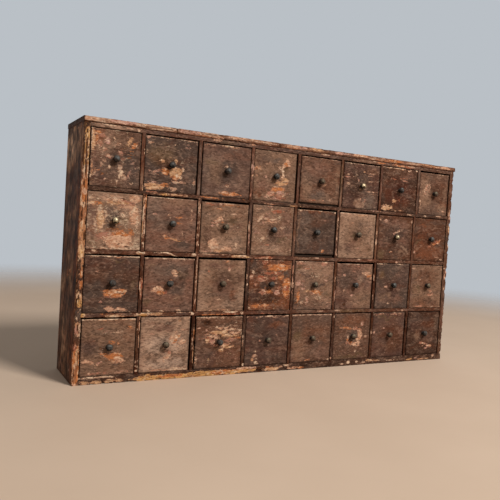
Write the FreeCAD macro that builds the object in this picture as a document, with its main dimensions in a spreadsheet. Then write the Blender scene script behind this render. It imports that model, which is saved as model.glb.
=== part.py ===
"""A shop-made bank of thirty-two small drawers: a shallow pine carcass of full-depth shelves
with short upright dividers housed between them, and a nailed, rebated drawer in every cell.

Millimetres, +Z up. X runs along the front, Y from the front to the back. The origin is the
middle of the carcass's footprint, on the floor. Row 1 is the top row, column 1 the left one.
"""
import FreeCAD, Part
import Sketcher
import os

ROWS = 4
COLUMNS = 8
SHEET = "Sizes"

# ---------------------------------------------------------------- driving dimensions
CARCASS = {
    "carcass_width": 1186.0,
    "carcass_depth": 175.0,
    "side_thickness": 16.0,
    "bottom_thickness": 19.0,
    "shelf_thickness": 10.0,
    "ceiling_thickness": 10.0,
    "top_thickness": 13.0,
    "top_end_overhang": 3.0,
    "top_front_overhang": 2.0,
    "top_edge_radius": 2.5,
    "row_1_height": 136.0,
    "row_2_height": 137.0,
    "row_3_height": 140.0,
    "row_4_height": 140.0,
    "shelf_housing": 5.0,       # how far a shelf's end goes into the side
    "housing_stop": 9.0,        # how far the side's housing stops short of its front edge
    "divider_thickness": 9.0,
    "divider_housing": 2.5,     # how far a divider goes into the board above and below
    "back_thickness": 9.0,
    "back_rebate": 8.0,         # how far the back boards lap onto the sides
    "back_shiplap": 8.0,        # width of the half-lap between two back boards
    "back_shrinkage": 1.0,      # the open joint between two back boards
}
DRAWER = {
    "front_thickness": 12.0,
    "front_lap": 5.0,           # what the rebates leave of the front, over the sides and bottom
    "front_arris": 1.0,
    "front_recess": 1.5,        # how far a closed drawer sits behind the carcass's front edge
    "drawer_side": 7.0,
    "drawer_back": 7.0,
    "drawer_bottom": 5.0,
    "side_drop": 2.0,           # how far the sides stop below the front's top edge
    "back_drop": 3.0,           # how far the back stops below the sides' top edge
    "running_clearance": 0.3,   # under the drawer
    "rear_room": 6.0,           # between a closed drawer and the back boards
}
KNOB = {
    "knob_crown_diameter": 17.0,
    "knob_crown_thickness": 9.5,
    "knob_neck_diameter": 9.0,
    "knob_neck_length": 6.5,
    "knob_height_row_1": 67.0,  # of the knob's middle above the drawer's underside
    "knob_height_row_2": 70.0,
    "knob_height_row_3": 72.0,
    "knob_height_row_4": 69.0,
}
# Each divider was set out by eye: how far it stands right of an even spacing, row by row.
DIVIDER_SHIFTS = [
    [-14.0, -10.0, -4.0, -3.0, 0.0, 2.0, 7.0],
    [-3.0, -4.0, -2.0, -5.0, -4.0, -2.0, 1.0],
    [-2.0, -3.0, 1.0, 0.0, -1.0, 1.0, 0.0],
    [-3.0, -3.0, 0.0, 1.0, 3.0, 3.0, -3.0],
]
# Each drawer was planed to its own cell: the gap left of it, right of it and above it.
DRAWER_GAPS = [
    [(2.0, 1.0, 1.5), (1.0, 3.0, 3.0), (3.0, 1.0, 2.5), (1.0, 4.5, 1.5),
     (3.0, 1.0, 3.0), (3.0, 2.5, 4.0), (1.0, 1.0, 1.5), (2.0, 3.5, 4.5)],
    [(1.0, 1.0, 1.5), (1.5, 2.0, 3.5), (2.0, 1.0, 5.0), (3.0, 1.0, 1.5),
     (1.5, 3.5, 5.0), (2.5, 2.0, 4.0), (2.0, 1.0, 2.5), (1.0, 1.0, 2.0)],
    [(1.0, 1.0, 3.5), (2.0, 1.5, 5.0), (2.5, 3.0, 5.5), (1.0, 1.0, 1.5),
     (1.5, 1.0, 2.0), (2.0, 4.0, 5.5), (4.0, 1.0, 1.5), (1.0, 2.0, 3.0)],
    [(2.0, 1.0, 4.0), (2.0, 4.0, 2.0), (4.0, 1.0, 4.0), (1.5, 1.0, 4.0),
     (1.5, 1.0, 3.0), (1.5, 1.0, 3.0), (1.0, 3.0, 2.5), (3.5, 1.5, 2.5)],
]
FULL_TURN = 360.0
TOUCH = 1e-6        # how near two places count as the same


class Size:
    """A length as its value now and as the spreadsheet expression that gives it."""

    def __init__(self, value, text=None):
        self.value = float(value)
        self.text = text or repr(float(value))

    def _with(self, other, sign, value):
        other = as_size(other)
        return Size(value(self.value, other.value), f"({self.text} {sign} {other.text})")

    def __add__(self, other):
        return self._with(other, "+", lambda a, b: a + b)

    def __sub__(self, other):
        return self._with(other, "-", lambda a, b: a - b)

    def __mul__(self, other):
        return self._with(other, "*", lambda a, b: a * b)

    def __truediv__(self, other):
        return self._with(other, "/", lambda a, b: a / b)

    def __neg__(self):
        return as_size(0) - self


def as_size(value):
    return value if isinstance(value, Size) else Size(value)


ZERO = Size(0)
doc = FreeCAD.newDocument("drawer_bank")
sheet = doc.addObject("Spreadsheet::Sheet", SHEET)
size = {}
sub_parts = []


# ---------------------------------------------------------------- spreadsheet
def write_sizes():
    """Fills the spreadsheet, one named cell to each driving dimension."""
    named = {**CARCASS, **DRAWER, **KNOB}
    for row in range(ROWS):
        for k in range(COLUMNS - 1):
            named[f"shift_row_{row + 1}_divider_{k + 1}"] = DIVIDER_SHIFTS[row][k]
        for c in range(COLUMNS):
            left, right, above = DRAWER_GAPS[row][c]
            named[f"left_gap_row_{row + 1}_column_{c + 1}"] = left
            named[f"right_gap_row_{row + 1}_column_{c + 1}"] = right
            named[f"top_gap_row_{row + 1}_column_{c + 1}"] = above
    for line, (name, value) in enumerate(named.items(), start=1):
        sheet.set(f"A{line}", name.replace("_", " "))
        sheet.set(f"B{line}", str(value))
        sheet.setAlias(f"B{line}", name)
        size[name] = Size(value, f"{SHEET}.{name}")
    doc.recompute()


# ---------------------------------------------------------------- places worked out from the sizes
def row_height(row):
    return size[f"row_{row}_height"]


def row_floor(row):
    """Height of the board that a row's drawers run on."""
    level = size["bottom_thickness"]
    for below in range(ROWS, row, -1):
        level = level + row_height(below) + size["shelf_thickness"]
    return level


def inner_width():
    return size["carcass_width"] - size["side_thickness"] * 2


def carcass_height():
    """Height of the sides, under the top board."""
    return row_floor(1) + row_height(1) + size["ceiling_thickness"]


def front_y():
    return -size["carcass_depth"] / 2


def shelf_depth():
    return size["carcass_depth"] - size["back_thickness"]


def divider_centre(row, k):
    """X of the k-th divider of a row, k from 1."""
    pitch = (inner_width() + size["divider_thickness"]) / COLUMNS
    first = -(inner_width() + size["divider_thickness"]) / 2
    return first + pitch * k + size[f"shift_row_{row}_divider_{k}"]


def cell_left(row, column):
    if column == 1:
        return -inner_width() / 2
    return divider_centre(row, column - 1) + size["divider_thickness"] / 2


def cell_right(row, column):
    if column == COLUMNS:
        return inner_width() / 2
    return divider_centre(row, column) - size["divider_thickness"] / 2


# ---------------------------------------------------------------- modelling helpers
def bind(thing, prop, value):
    """Ties one property of an object to a size."""
    thing.setExpression(prop, as_size(value).text)


def place(thing, x, y, z):
    for axis, value in zip("xyz", (x, y, z)):
        bind(thing, f"Placement.Base.{axis}", value)


def origin_plane(body, role):
    return next(o for o in body.Origin.OriginFeatures if o.Role == role)


def sketch_on(body, role, name, height=ZERO):
    """A sketch on one of the body's own planes, lifted along that plane's normal."""
    sketch = body.newObject("Sketcher::SketchObject", name)
    sketch.AttachmentSupport = (origin_plane(body, role), [""])
    sketch.MapMode = "FlatFace"
    bind(sketch, "AttachmentOffset.Base.z", height)
    return sketch


def fix_point(sketch, geometry, end, x, y):
    """Holds one end of a line or arc at x, y of the sketch."""
    if x is ZERO:
        sketch.addConstraint(Sketcher.Constraint("PointOnObject", geometry, end, -2))
    else:
        i = sketch.addConstraint(
            Sketcher.Constraint("DistanceX", -1, 1, geometry, end, x.value))
        bind(sketch, f"Constraints[{i}]", x)
    if y is ZERO:
        sketch.addConstraint(Sketcher.Constraint("PointOnObject", geometry, end, -1))
    else:
        i = sketch.addConstraint(
            Sketcher.Constraint("DistanceY", -1, 1, geometry, end, y.value))
        bind(sketch, f"Constraints[{i}]", y)


def outline(sketch, corners):
    """A closed outline of straight lines through corners that are each tied to the sheet."""
    points = [FreeCAD.Vector(x.value, y.value, 0) for x, y in corners]
    first = sketch.GeometryCount
    for a, b in zip(points, points[1:] + points[:1]):
        sketch.addGeometry(Part.LineSegment(a, b), False)
    for i, (x, y) in enumerate(corners):
        after = first + (i - 1) % len(corners)
        sketch.addConstraint(Sketcher.Constraint("Coincident", after, 2, first + i, 1))
        fix_point(sketch, first + i, 1, x, y)


def rectangle(sketch, x0, x1, y0, y1):
    outline(sketch, [(x0, y0), (x1, y0), (x1, y1), (x0, y1)])


def pad(body, sketch, length, reverse=False):
    feature = body.newObject("PartDesign::Pad", "Pad")
    feature.Profile = sketch
    feature.Reversed = reverse
    bind(feature, "Length", length)
    return feature


def pocket(body, sketch, depth, reverse=False):
    feature = body.newObject("PartDesign::Pocket", "Pocket")
    feature.Profile = sketch
    feature.Reversed = reverse
    bind(feature, "Length", depth)
    return feature


def edges_where(shape, wanted):
    """Names of the shape's edges whose two ends both pass the test."""
    return [
        f"Edge{i}" for i, edge in enumerate(shape.Edges, start=1)
        if all(wanted(v.Point) for v in edge.Vertexes)
    ]


def box(name, x, y, z, length, width, height):
    """A squared board, its low corner at x, y, z."""
    board = doc.addObject("Part::Box", name)
    for prop, value in (("Length", length), ("Width", width), ("Height", height)):
        bind(board, prop, value)
    place(board, x, y, z)
    return board


def sub_part(thing, label):
    thing.Label = label
    sub_parts.append(thing)


def group(pieces, label):
    """Several separate pieces that share one name."""
    together = doc.addObject("Part::Compound", label)
    together.Links = pieces
    sub_part(together, label)


# ---------------------------------------------------------------- carcass
def divider_housings(body, row, height, name, reverse):
    """A through housing for each divider of a row, cut in one face of a board."""
    left_end = -inner_width() / 2 - size["shelf_housing"]
    sketch = sketch_on(body, "XY_Plane", name, height)
    for k in range(1, COLUMNS):
        left = divider_centre(row, k) - size["divider_thickness"] / 2 - left_end
        rectangle(sketch, left, left + size["divider_thickness"], ZERO, shelf_depth())
    pocket(body, sketch, size["divider_housing"], reverse)


def cross_board(label, level, thickness, row_above=None, row_below=None):
    """A full-width board whose ends go into the sides, notched at the front round the stops
    of their housings, and housed for the dividers of the rows above and below it."""
    notch, stop, depth = size["shelf_housing"], size["housing_stop"], shelf_depth()
    length = inner_width() + notch * 2
    body = doc.addObject("PartDesign::Body", label)
    plan = sketch_on(body, "XY_Plane", "plan")
    outline(plan, [
        (notch, ZERO), (length - notch, ZERO), (length - notch, stop), (length, stop),
        (length, depth), (ZERO, depth), (ZERO, stop), (notch, stop),
    ])
    pad(body, plan, thickness)
    if row_above:
        divider_housings(body, row_above, thickness, "housings_above", False)
    if row_below:
        divider_housings(body, row_below, ZERO, "housings_below", True)
    place(body, -length / 2, front_y(), level)
    sub_part(body, label)


def side_board(label, left):
    """A side, with a stopped housing for each cross board and a rebate for the back boards.
    Its sketches lie in the plane of the inner face, and the board grows outwards from it."""
    height, depth = carcass_height(), size["carcass_depth"]
    thickness, stop = size["side_thickness"], size["housing_stop"]
    body = doc.addObject("PartDesign::Body", label)
    profile = sketch_on(body, "YZ_Plane", "profile")
    rectangle(profile, ZERO, depth, ZERO, height)
    pad(body, profile, thickness, reverse=left)
    levels = [(ZERO, size["bottom_thickness"])]
    levels += [(row_floor(row) - size["shelf_thickness"], size["shelf_thickness"])
               for row in range(1, ROWS)]
    levels += [(height - size["ceiling_thickness"], size["ceiling_thickness"])]
    housings = sketch_on(body, "YZ_Plane", "housings")
    for low, board in levels:
        rectangle(housings, stop, shelf_depth(), low, low + board)
    pocket(body, housings, size["shelf_housing"], reverse=not left)
    rebate = sketch_on(body, "YZ_Plane", "back_rebate")
    rectangle(rebate, shelf_depth(), depth, ZERO, height)
    pocket(body, rebate, size["back_rebate"], reverse=not left)
    inner_face = inner_width() / 2
    place(body, -inner_face if left else inner_face, front_y(), ZERO)
    sub_part(body, label)


def top_board():
    """The board nailed over the sides, standing a little proud of them at the front and ends."""
    length = size["carcass_width"] + size["top_end_overhang"] * 2
    depth = size["carcass_depth"] + size["top_front_overhang"]
    body = doc.addObject("PartDesign::Body", "top_board")
    plan = sketch_on(body, "XY_Plane", "plan")
    rectangle(plan, ZERO, length, ZERO, depth)
    board = pad(body, plan, size["top_thickness"])
    doc.recompute()
    nosing = body.newObject("PartDesign::Fillet", "nosing")
    limits = board.Shape.BoundBox
    nosing.Base = (board, edges_where(
        board.Shape, lambda p: p.y < limits.YMin + TOUCH and p.z > limits.ZMax - TOUCH))
    bind(nosing, "Radius", size["top_edge_radius"])
    place(body, -length / 2, front_y() - size["top_front_overhang"], carcass_height())
    sub_part(body, "top_board")


def back_board(number, count):
    """One of the boards nailed across the back. Each is half-lapped: the inner half of its top
    edge stands behind the outer half of the board above, which comes down over it."""
    thickness, half = size["back_thickness"], size["back_thickness"] / 2
    lap, open_joint = size["back_shiplap"], size["back_shrinkage"]
    cover = (carcass_height() - open_joint * (count - 1)) / count
    if number == 1:
        foot = ZERO
        corners = [(ZERO, ZERO), (thickness, ZERO)]
    else:
        foot = lap
        corners = [(ZERO, foot), (half, foot), (half, ZERO), (thickness, ZERO)]
    head = foot + cover
    if number < count:
        corners += [(thickness, head - lap), (half, head - lap)]
        corners += [(half, head), (ZERO, head)]
    else:
        corners += [(thickness, head), (ZERO, head)]
    length = inner_width() + size["back_rebate"] * 2
    body = doc.addObject("PartDesign::Body", f"back_board_{number}")
    profile = sketch_on(body, "YZ_Plane", "profile")
    outline(profile, corners)
    pad(body, profile, length)
    level = (cover + open_joint) * (number - 1) - foot
    place(body, -length / 2, size["carcass_depth"] / 2 - thickness, level)
    sub_part(body, f"back_board_{number}")


def dividers(row):
    """The uprights between one row's drawers, each let into the boards above and below."""
    into = size["divider_housing"]
    pieces = [
        box(f"divider_{row}_{k}",
            divider_centre(row, k) - size["divider_thickness"] / 2, front_y(), row_floor(row) - into,
            size["divider_thickness"], shelf_depth(), row_height(row) + into * 2)
        for k in range(1, COLUMNS)
    ]
    group(pieces, f"dividers_row_{row}")


# ---------------------------------------------------------------- knob
def knob_pattern():
    """The turned knob that every drawer carries, a thick round crown on a narrower neck. It is
    turned about Z here, with its foot at Z 0, and each drawer links to it."""
    body = doc.addObject("PartDesign::Body", "knob_pattern")
    half_section = sketch_on(body, "XZ_Plane", "half_section")
    neck, crown = size["knob_neck_diameter"] / 2, size["knob_crown_diameter"] / 2
    crown_foot = size["knob_neck_length"]
    crown_top = crown_foot + size["knob_crown_thickness"]
    outline(half_section, [
        (ZERO, ZERO), (neck, ZERO), (neck, crown_foot),
        (crown, crown_foot), (crown, crown_top), (ZERO, crown_top),
    ])
    turned = body.newObject("PartDesign::Revolution", "turned")
    turned.Profile = half_section
    turned.ReferenceAxis = (half_section, ["V_Axis"])
    turned.Angle = FULL_TURN
    return body


# ---------------------------------------------------------------- drawers
def drawer_front(name, width, height):
    """The front: eased round its face, and rebated behind at both ends and along the foot,
    so that it laps over the ends of the sides and the edge of the bottom."""
    side, bottom = size["drawer_side"], size["drawer_bottom"]
    body = doc.addObject("PartDesign::Body", name)
    face = sketch_on(body, "XZ_Plane", "face")
    rectangle(face, ZERO, width, ZERO, height)
    board = pad(body, face, size["front_thickness"], reverse=True)
    doc.recompute()
    nearest = board.Shape.BoundBox.YMin + TOUCH
    eased = body.newObject("PartDesign::Chamfer", "eased_face")
    eased.Base = (board, edges_where(board.Shape, lambda p: p.y < nearest))
    bind(eased, "Size", size["front_arris"])
    rebates = sketch_on(body, "XZ_Plane", "rebates", -size["front_lap"])
    outline(rebates, [
        (ZERO, ZERO), (width, ZERO), (width, height), (width - side, height),
        (width - side, bottom), (side, bottom), (side, height), (ZERO, height),
    ])
    pocket(body, rebates, size["front_thickness"] - size["front_lap"])
    return body


def drawer(row, column, knob):
    """One drawer: front, two sides, back, bottom and knob, closed in its own cell."""
    label = f"drawer_row_{row}_column_{column}"
    cell = f"row_{row}_column_{column}"
    left = cell_left(row, column) + size[f"left_gap_{cell}"]
    width = cell_right(row, column) - size[f"right_gap_{cell}"] - left
    floor = row_floor(row) + size["running_clearance"]
    height = row_height(row) - size["running_clearance"] - size[f"top_gap_{cell}"]
    face_y = front_y() + size["front_recess"]
    length = shelf_depth() - size["front_recess"] - size["rear_room"]
    side, bottom, lap = size["drawer_side"], size["drawer_bottom"], size["front_lap"]
    side_height = height - size["side_drop"] - bottom

    front = drawer_front(f"{label}_front", width, height)
    place(front, left, face_y, floor)
    bottom_board = box(f"{label}_bottom", left, face_y + lap, floor, width, length - lap, bottom)
    left_side = box(f"{label}_left_side", left, face_y + lap, floor + bottom,
                    side, length - lap, side_height)
    right_side = box(f"{label}_right_side", left + width - side, face_y + lap, floor + bottom,
                     side, length - lap, side_height)
    back = box(f"{label}_back", left + side, face_y + length - size["drawer_back"], floor + bottom,
               width - side * 2, size["drawer_back"], side_height - size["back_drop"])
    pull = doc.addObject("App::Link", f"{label}_knob")
    pull.LinkedObject = knob
    pull.Placement.Rotation = FreeCAD.Rotation(FreeCAD.Vector(1, 0, 0), FULL_TURN / 4)
    place(pull, left + width / 2, face_y, floor + size[f"knob_height_row_{row}"])
    group([front, left_side, right_side, back, bottom_board, pull], label)


# ---------------------------------------------------------------- assembly and output
def build():
    write_sizes()
    side_board("side_left", True)
    side_board("side_right", False)
    cross_board("bottom_board", ZERO, size["bottom_thickness"], row_above=ROWS)
    for row in range(ROWS - 1, 0, -1):
        cross_board(f"shelf_{row}", row_floor(row) - size["shelf_thickness"],
                    size["shelf_thickness"], row_above=row, row_below=row + 1)
    cross_board("ceiling_board", carcass_height() - size["ceiling_thickness"],
                size["ceiling_thickness"], row_below=1)
    top_board()
    for number in range(1, ROWS + 1):
        back_board(number, ROWS)
    for row in range(1, ROWS + 1):
        dividers(row)
    knob = knob_pattern()
    for row in range(1, ROWS + 1):
        for column in range(1, COLUMNS + 1):
            drawer(row, column, knob)
    doc.recompute()


def check_and_write():
    """Stops on anything that failed to build, then writes each sub-part under its label."""
    failed = [o.Name for o in doc.Objects if {"Invalid", "Error"} & set(o.State)]
    if failed:
        raise RuntimeError(f"these objects failed: {failed}")
    for thing in sub_parts:
        if thing.Shape.isNull() or not thing.Shape.isValid():
            raise RuntimeError(f"{thing.Label} has no valid shape")
    os.makedirs("parts", exist_ok=True)
    for thing in sub_parts:
        thing.Shape.exportStep(os.path.join("parts", thing.Label + ".step"))
    print(f"{len(sub_parts)} sub-parts, {sum(len(t.Shape.Solids) for t in sub_parts)} solids")


build()
check_and_write()
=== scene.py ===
"""A shop-made bank of thirty-two small drawers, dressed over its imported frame.

Metres, +Z up, as in the frame; the sizes written in the sections are millimetres. Row 1 is
the top row and column 1 the left one.
"""
import math
import random

import bmesh
import bpy
import numpy as np
from mathutils import Matrix, Vector, noise


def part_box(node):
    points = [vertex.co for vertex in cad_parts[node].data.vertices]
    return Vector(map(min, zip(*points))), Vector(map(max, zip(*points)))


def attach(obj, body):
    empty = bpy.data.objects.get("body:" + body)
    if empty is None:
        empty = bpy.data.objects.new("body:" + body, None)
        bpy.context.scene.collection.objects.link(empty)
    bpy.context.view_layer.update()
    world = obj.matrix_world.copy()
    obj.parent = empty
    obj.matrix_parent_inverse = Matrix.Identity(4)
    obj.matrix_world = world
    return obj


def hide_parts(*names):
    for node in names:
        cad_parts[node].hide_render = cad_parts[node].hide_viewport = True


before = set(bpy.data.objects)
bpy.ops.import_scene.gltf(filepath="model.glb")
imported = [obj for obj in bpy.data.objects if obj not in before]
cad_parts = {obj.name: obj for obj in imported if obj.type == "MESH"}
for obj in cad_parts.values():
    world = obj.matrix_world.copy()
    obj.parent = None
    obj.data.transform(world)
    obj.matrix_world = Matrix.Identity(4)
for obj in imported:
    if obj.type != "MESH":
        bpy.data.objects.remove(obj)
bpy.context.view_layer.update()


# ---- The studio --------------------------------------------------------------------------
# A plain pale floor that fades into a pale cool background, one large soft lamp high on the
# right in front of the drawers, and the camera low on the left.
FLOOR_TONE, FLOOR_CLOUD = (210, 184, 160), 4    # its colour, and how far its clouds stray from it
FLOOR_RADIUS, FLOOR_CORNERS = 6.0, 96
FLOOR_FADE = (1.5, 3.6)         # metres from the middle, where the floor starts and ends its fade
WALL_TONE = (186, 192, 198)
SKY_TONE, SKY_STRENGTH = (236, 234, 230), 0.30
LAMP_PLACE, LAMP_AIM = Vector((1.3, -3.6, 3.7)), Vector((0.0, 0.0, 0.3))
LAMP_SIZE, LAMP_WATTS, LAMP_TINT = 1.3, 240.0, (1.0, 0.985, 0.96)
CAMERA_PLACE = (-0.90019, -1.46465, 0.39379)
CAMERA_YAW, CAMERA_PITCH, CAMERA_ROLL = 28.81, -2.24, 3.52      # degrees
CAMERA_LENS, CAMERA_SENSOR, CAMERA_NEAR = 42.571, 36.0, 0.01


def tone(red, green, blue):
    """A seen colour, 0 to 255, as the shader's linear one."""
    shares = [c / 255 for c in (red, green, blue)]
    return tuple(s / 12.92 if s <= 0.04045 else ((s + 0.055) / 1.055) ** 2.4 for s in shares) + (1.0,)


def put(tree, kind, feeds=None, take=None, **settings):
    """Adds a shader node and gives its output. Each feed is a socket to link or a plain value."""
    node = tree.nodes.new("ShaderNode" + kind)
    for name, value in settings.items():
        setattr(node, name, value)
    for name, value in (feeds or {}).items():
        shown = [s for s in node.inputs if s.enabled]
        socket = shown[name] if isinstance(name, int) else next(s for s in shown if s.name == name)
        if isinstance(value, bpy.types.NodeSocket):
            tree.links.new(value, socket)
        else:
            socket.default_value = value
    outputs = [s for s in node.outputs if s.enabled]
    return next(s for s in outputs if s.name == take) if take else outputs[0]


def times(tree, a, b):
    return put(tree, "Math", {0: a, 1: b}, operation="MULTIPLY")


def larger(tree, a, b):
    return put(tree, "Math", {0: a, 1: b}, operation="MAXIMUM")


def ease_in(tree, value, low, high):
    """0 under low, 1 over high and smooth between."""
    return put(tree, "MapRange", {"Value": value, "From Min": low, "From Max": high},
               interpolation_type="SMOOTHSTEP")


def cloud(tree, at, scale, detail, sharp=0.5, bend=0.0):
    """Soft noise about 0.5; sharp strengthens its finest parts and bend curls it."""
    return put(tree, "TexNoise", {"Vector": at, "Scale": scale, "Detail": detail,
                                  "Roughness": sharp, "Distortion": bend})


def mix(tree, share, under, over, most=None):
    """One colour over another by a share from 0 to 1; most is how much of it shows at 1."""
    if most is not None:
        share = times(tree, share, most)
    return put(tree, "Mix", {"Factor": share, "A": under, "B": over}, data_type="RGBA", clamp_factor=True)


def new_material(name):
    """An empty node material, with its tree and its output's surface socket."""
    material = bpy.data.materials.new(name)
    material.use_nodes = True
    tree = material.node_tree
    tree.nodes.clear()
    return material, tree, tree.nodes.new("ShaderNodeOutputMaterial").inputs["Surface"]


def skin(tree, colour, roughness, height, strength, deep, **more):
    """The Principled surface of a material, with bumps deep metres high at full strength. more
    is its other sockets, spelt with _ for a space."""
    bump = put(tree, "Bump", {"Height": height, "Strength": strength, "Distance": deep})
    more = {name.replace("_", " "): value for name, value in more.items()}
    return put(tree, "BsdfPrincipled",
               {"Base Color": colour, "Roughness": roughness, "Normal": bump, **more})


def floor():
    """A wide disc of one pale tone, barely clouded, that turns clear far out."""
    material, tree, surface = new_material("floor_pale")
    at = put(tree, "TexCoord", take="Object")
    dark, pale = (tone(*(c + shift for c in FLOOR_TONE)) for shift in (-FLOOR_CLOUD, FLOOR_CLOUD))
    colour = mix(tree, ease_in(tree, cloud(tree, at, 2.3, 4.0), 0.2, 0.8), dark, pale)
    grit = cloud(tree, at, 160.0, 3.0)
    dull = put(tree, "Math", {0: grit, 1: 0.1, 2: 0.72}, operation="MULTIPLY_ADD")
    solid = skin(tree, colour, dull, grit, strength=0.05, deep=0.001)
    far = put(tree, "VectorMath", {0: at}, operation="LENGTH", take="Value")
    faded = put(tree, "MixShader", {0: ease_in(tree, far, *FLOOR_FADE), 1: solid,
                                    2: put(tree, "BsdfTransparent")})
    tree.links.new(faded, surface)
    mesh = bpy.data.meshes.new("floor")
    shape = bmesh.new()
    bmesh.ops.create_circle(shape, cap_ends=True, segments=FLOOR_CORNERS, radius=FLOOR_RADIUS)
    shape.to_mesh(mesh)
    shape.free()
    mesh.materials.append(material)
    disc = bpy.data.objects.new("floor", mesh)
    bpy.context.scene.collection.objects.link(disc)


def background():
    """A plain wall tone to look at, and a dimmer, warmer sky to light by."""
    world = bpy.data.worlds.new("soft_room")
    bpy.context.scene.world = world
    world.use_nodes = True
    tree = world.node_tree
    tree.nodes.clear()
    ray = put(tree, "LightPath").node.outputs
    seen = larger(tree, ray["Is Camera Ray"], ray["Is Glossy Ray"])
    seen = larger(tree, seen, ray["Is Transmission Ray"])
    wall = put(tree, "Background", {"Color": tone(*WALL_TONE), "Strength": 1.0})
    sky = put(tree, "Background", {"Color": tone(*SKY_TONE), "Strength": SKY_STRENGTH})
    shown = put(tree, "MixShader", {0: seen, 1: sky, 2: wall})
    tree.links.new(shown, tree.nodes.new("ShaderNodeOutputWorld").inputs["Surface"])


def lamp():
    """One large square lamp, a little warm, turned to the middle of the object."""
    light = bpy.data.lights.new("window", "AREA")
    light.shape, light.size, light.energy, light.color = "SQUARE", LAMP_SIZE, LAMP_WATTS, LAMP_TINT
    window = bpy.data.objects.new("window", light)
    window.location = LAMP_PLACE
    window.rotation_euler = (LAMP_AIM - LAMP_PLACE).to_track_quat("-Z", "Y").to_euler()
    bpy.context.scene.collection.objects.link(window)


def camera():
    """Stands left of the object at half its height, rolled a little as a hand holds it."""
    data = bpy.data.cameras.new("camera")
    data.lens, data.sensor_width, data.sensor_fit = CAMERA_LENS, CAMERA_SENSOR, "HORIZONTAL"
    data.clip_start = CAMERA_NEAR
    eye = bpy.data.objects.new("camera", data)
    stance = Matrix.Translation(CAMERA_PLACE)
    for degrees, axis in ((-CAMERA_YAW, "Z"), (90 + CAMERA_PITCH, "X"), (CAMERA_ROLL, "Z")):
        stance = stance @ Matrix.Rotation(math.radians(degrees), 4, axis)
    eye.matrix_world = stance
    bpy.context.scene.collection.objects.link(eye)
    bpy.context.scene.camera = eye


bpy.context.scene.view_settings.view_transform = "Standard"
floor()
background()
lamp()
camera()


# ---- The old paint -----------------------------------------------------------------------
# The pine was painted dark brown over a paler ground. The film has flaked down to the ground
# and the bare wood, most along arrises, round the knobs and where hands and feet met it.
FILM = {                        # paint that is still there, by the look of its place
    "brown": (112, 82, 66), "warm": (117, 81, 62), "mauve": (114, 86, 73), "tan": (142, 108, 86),
    "slate": (88, 71, 62), "umber": (98, 63, 45), "plum": (92, 64, 54), "olive": (112, 88, 64),
    "moss": (90, 68, 54), "rust": (128, 77, 52), "grey": (120, 99, 86), "dusk": (74, 50, 38),
    "pitch": (44, 27, 18), "fawn": (152, 117, 94), "rose": (134, 97, 80), "dust": (98, 72, 54),
    "soot": (52, 39, 32), "blush": (180, 143, 118), "clay": (126, 84, 62), "russet": (100, 60, 42),
    "chalky": (216, 180, 154), "oxblood": (84, 40, 26),
}
BARE = {                        # what shows where it has flaked off
    "cream": (226, 196, 166), "beige": (192, 160, 136), "ochre": (206, 160, 120),
    "orange": (196, 120, 70), "salmon": (174, 124, 105), "pink": (192, 148, 132), "red": (152, 84, 64),
    "peach": (212, 166, 136), "gold": (206, 156, 97), "amber": (190, 133, 92), "tawny": (168, 112, 79),
    # The darkest is for dark chips, and also for painted shadow lines under the top board.
    "chip_dark": (38, 23, 16),
}
FILM_COVER = 0.85               # how fully a patch of other paint hides the ground under it
FILM_FADE = (1.5, 1.1)          # where such a patch ends, and over how much of its size it thins out
REDDENED, CHILLED, CHALK = (124, 70, 46), (100, 85, 76), (206, 164, 138)
SCUFF_DIRT, THREAD_DIRT = (40, 23, 15), (54, 33, 23)
LATE_WOOD, WOOD_STAIN, SCRUBBED_WOOD = (120, 74, 44), (150, 90, 56), (236, 202, 168)
PIT_DIRT, GROUND_COAT = (70, 40, 26), (176, 118, 92)


def plus(tree, a, b):
    return put(tree, "Math", {0: a, 1: b}, operation="ADD")


def less(tree, a, b):
    return put(tree, "Math", {0: a, 1: b}, operation="SUBTRACT")


def stretch(tree, at, by):
    return put(tree, "VectorMath", {0: at, 1: by}, operation="MULTIPLY")


def shader_group(name, takes, gives):
    """A node group with its input and output nodes; takes and gives map a socket to its kind."""
    group = bpy.data.node_groups.new(name, "ShaderNodeTree")
    for in_out, sockets in (("INPUT", takes), ("OUTPUT", gives)):
        for label, kind in sockets.items():
            group.interface.new_socket(name=label, in_out=in_out, socket_type="NodeSocket" + kind)
    return group, group.nodes.new("NodeGroupInput").outputs, group.nodes.new("NodeGroupOutput").inputs


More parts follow.
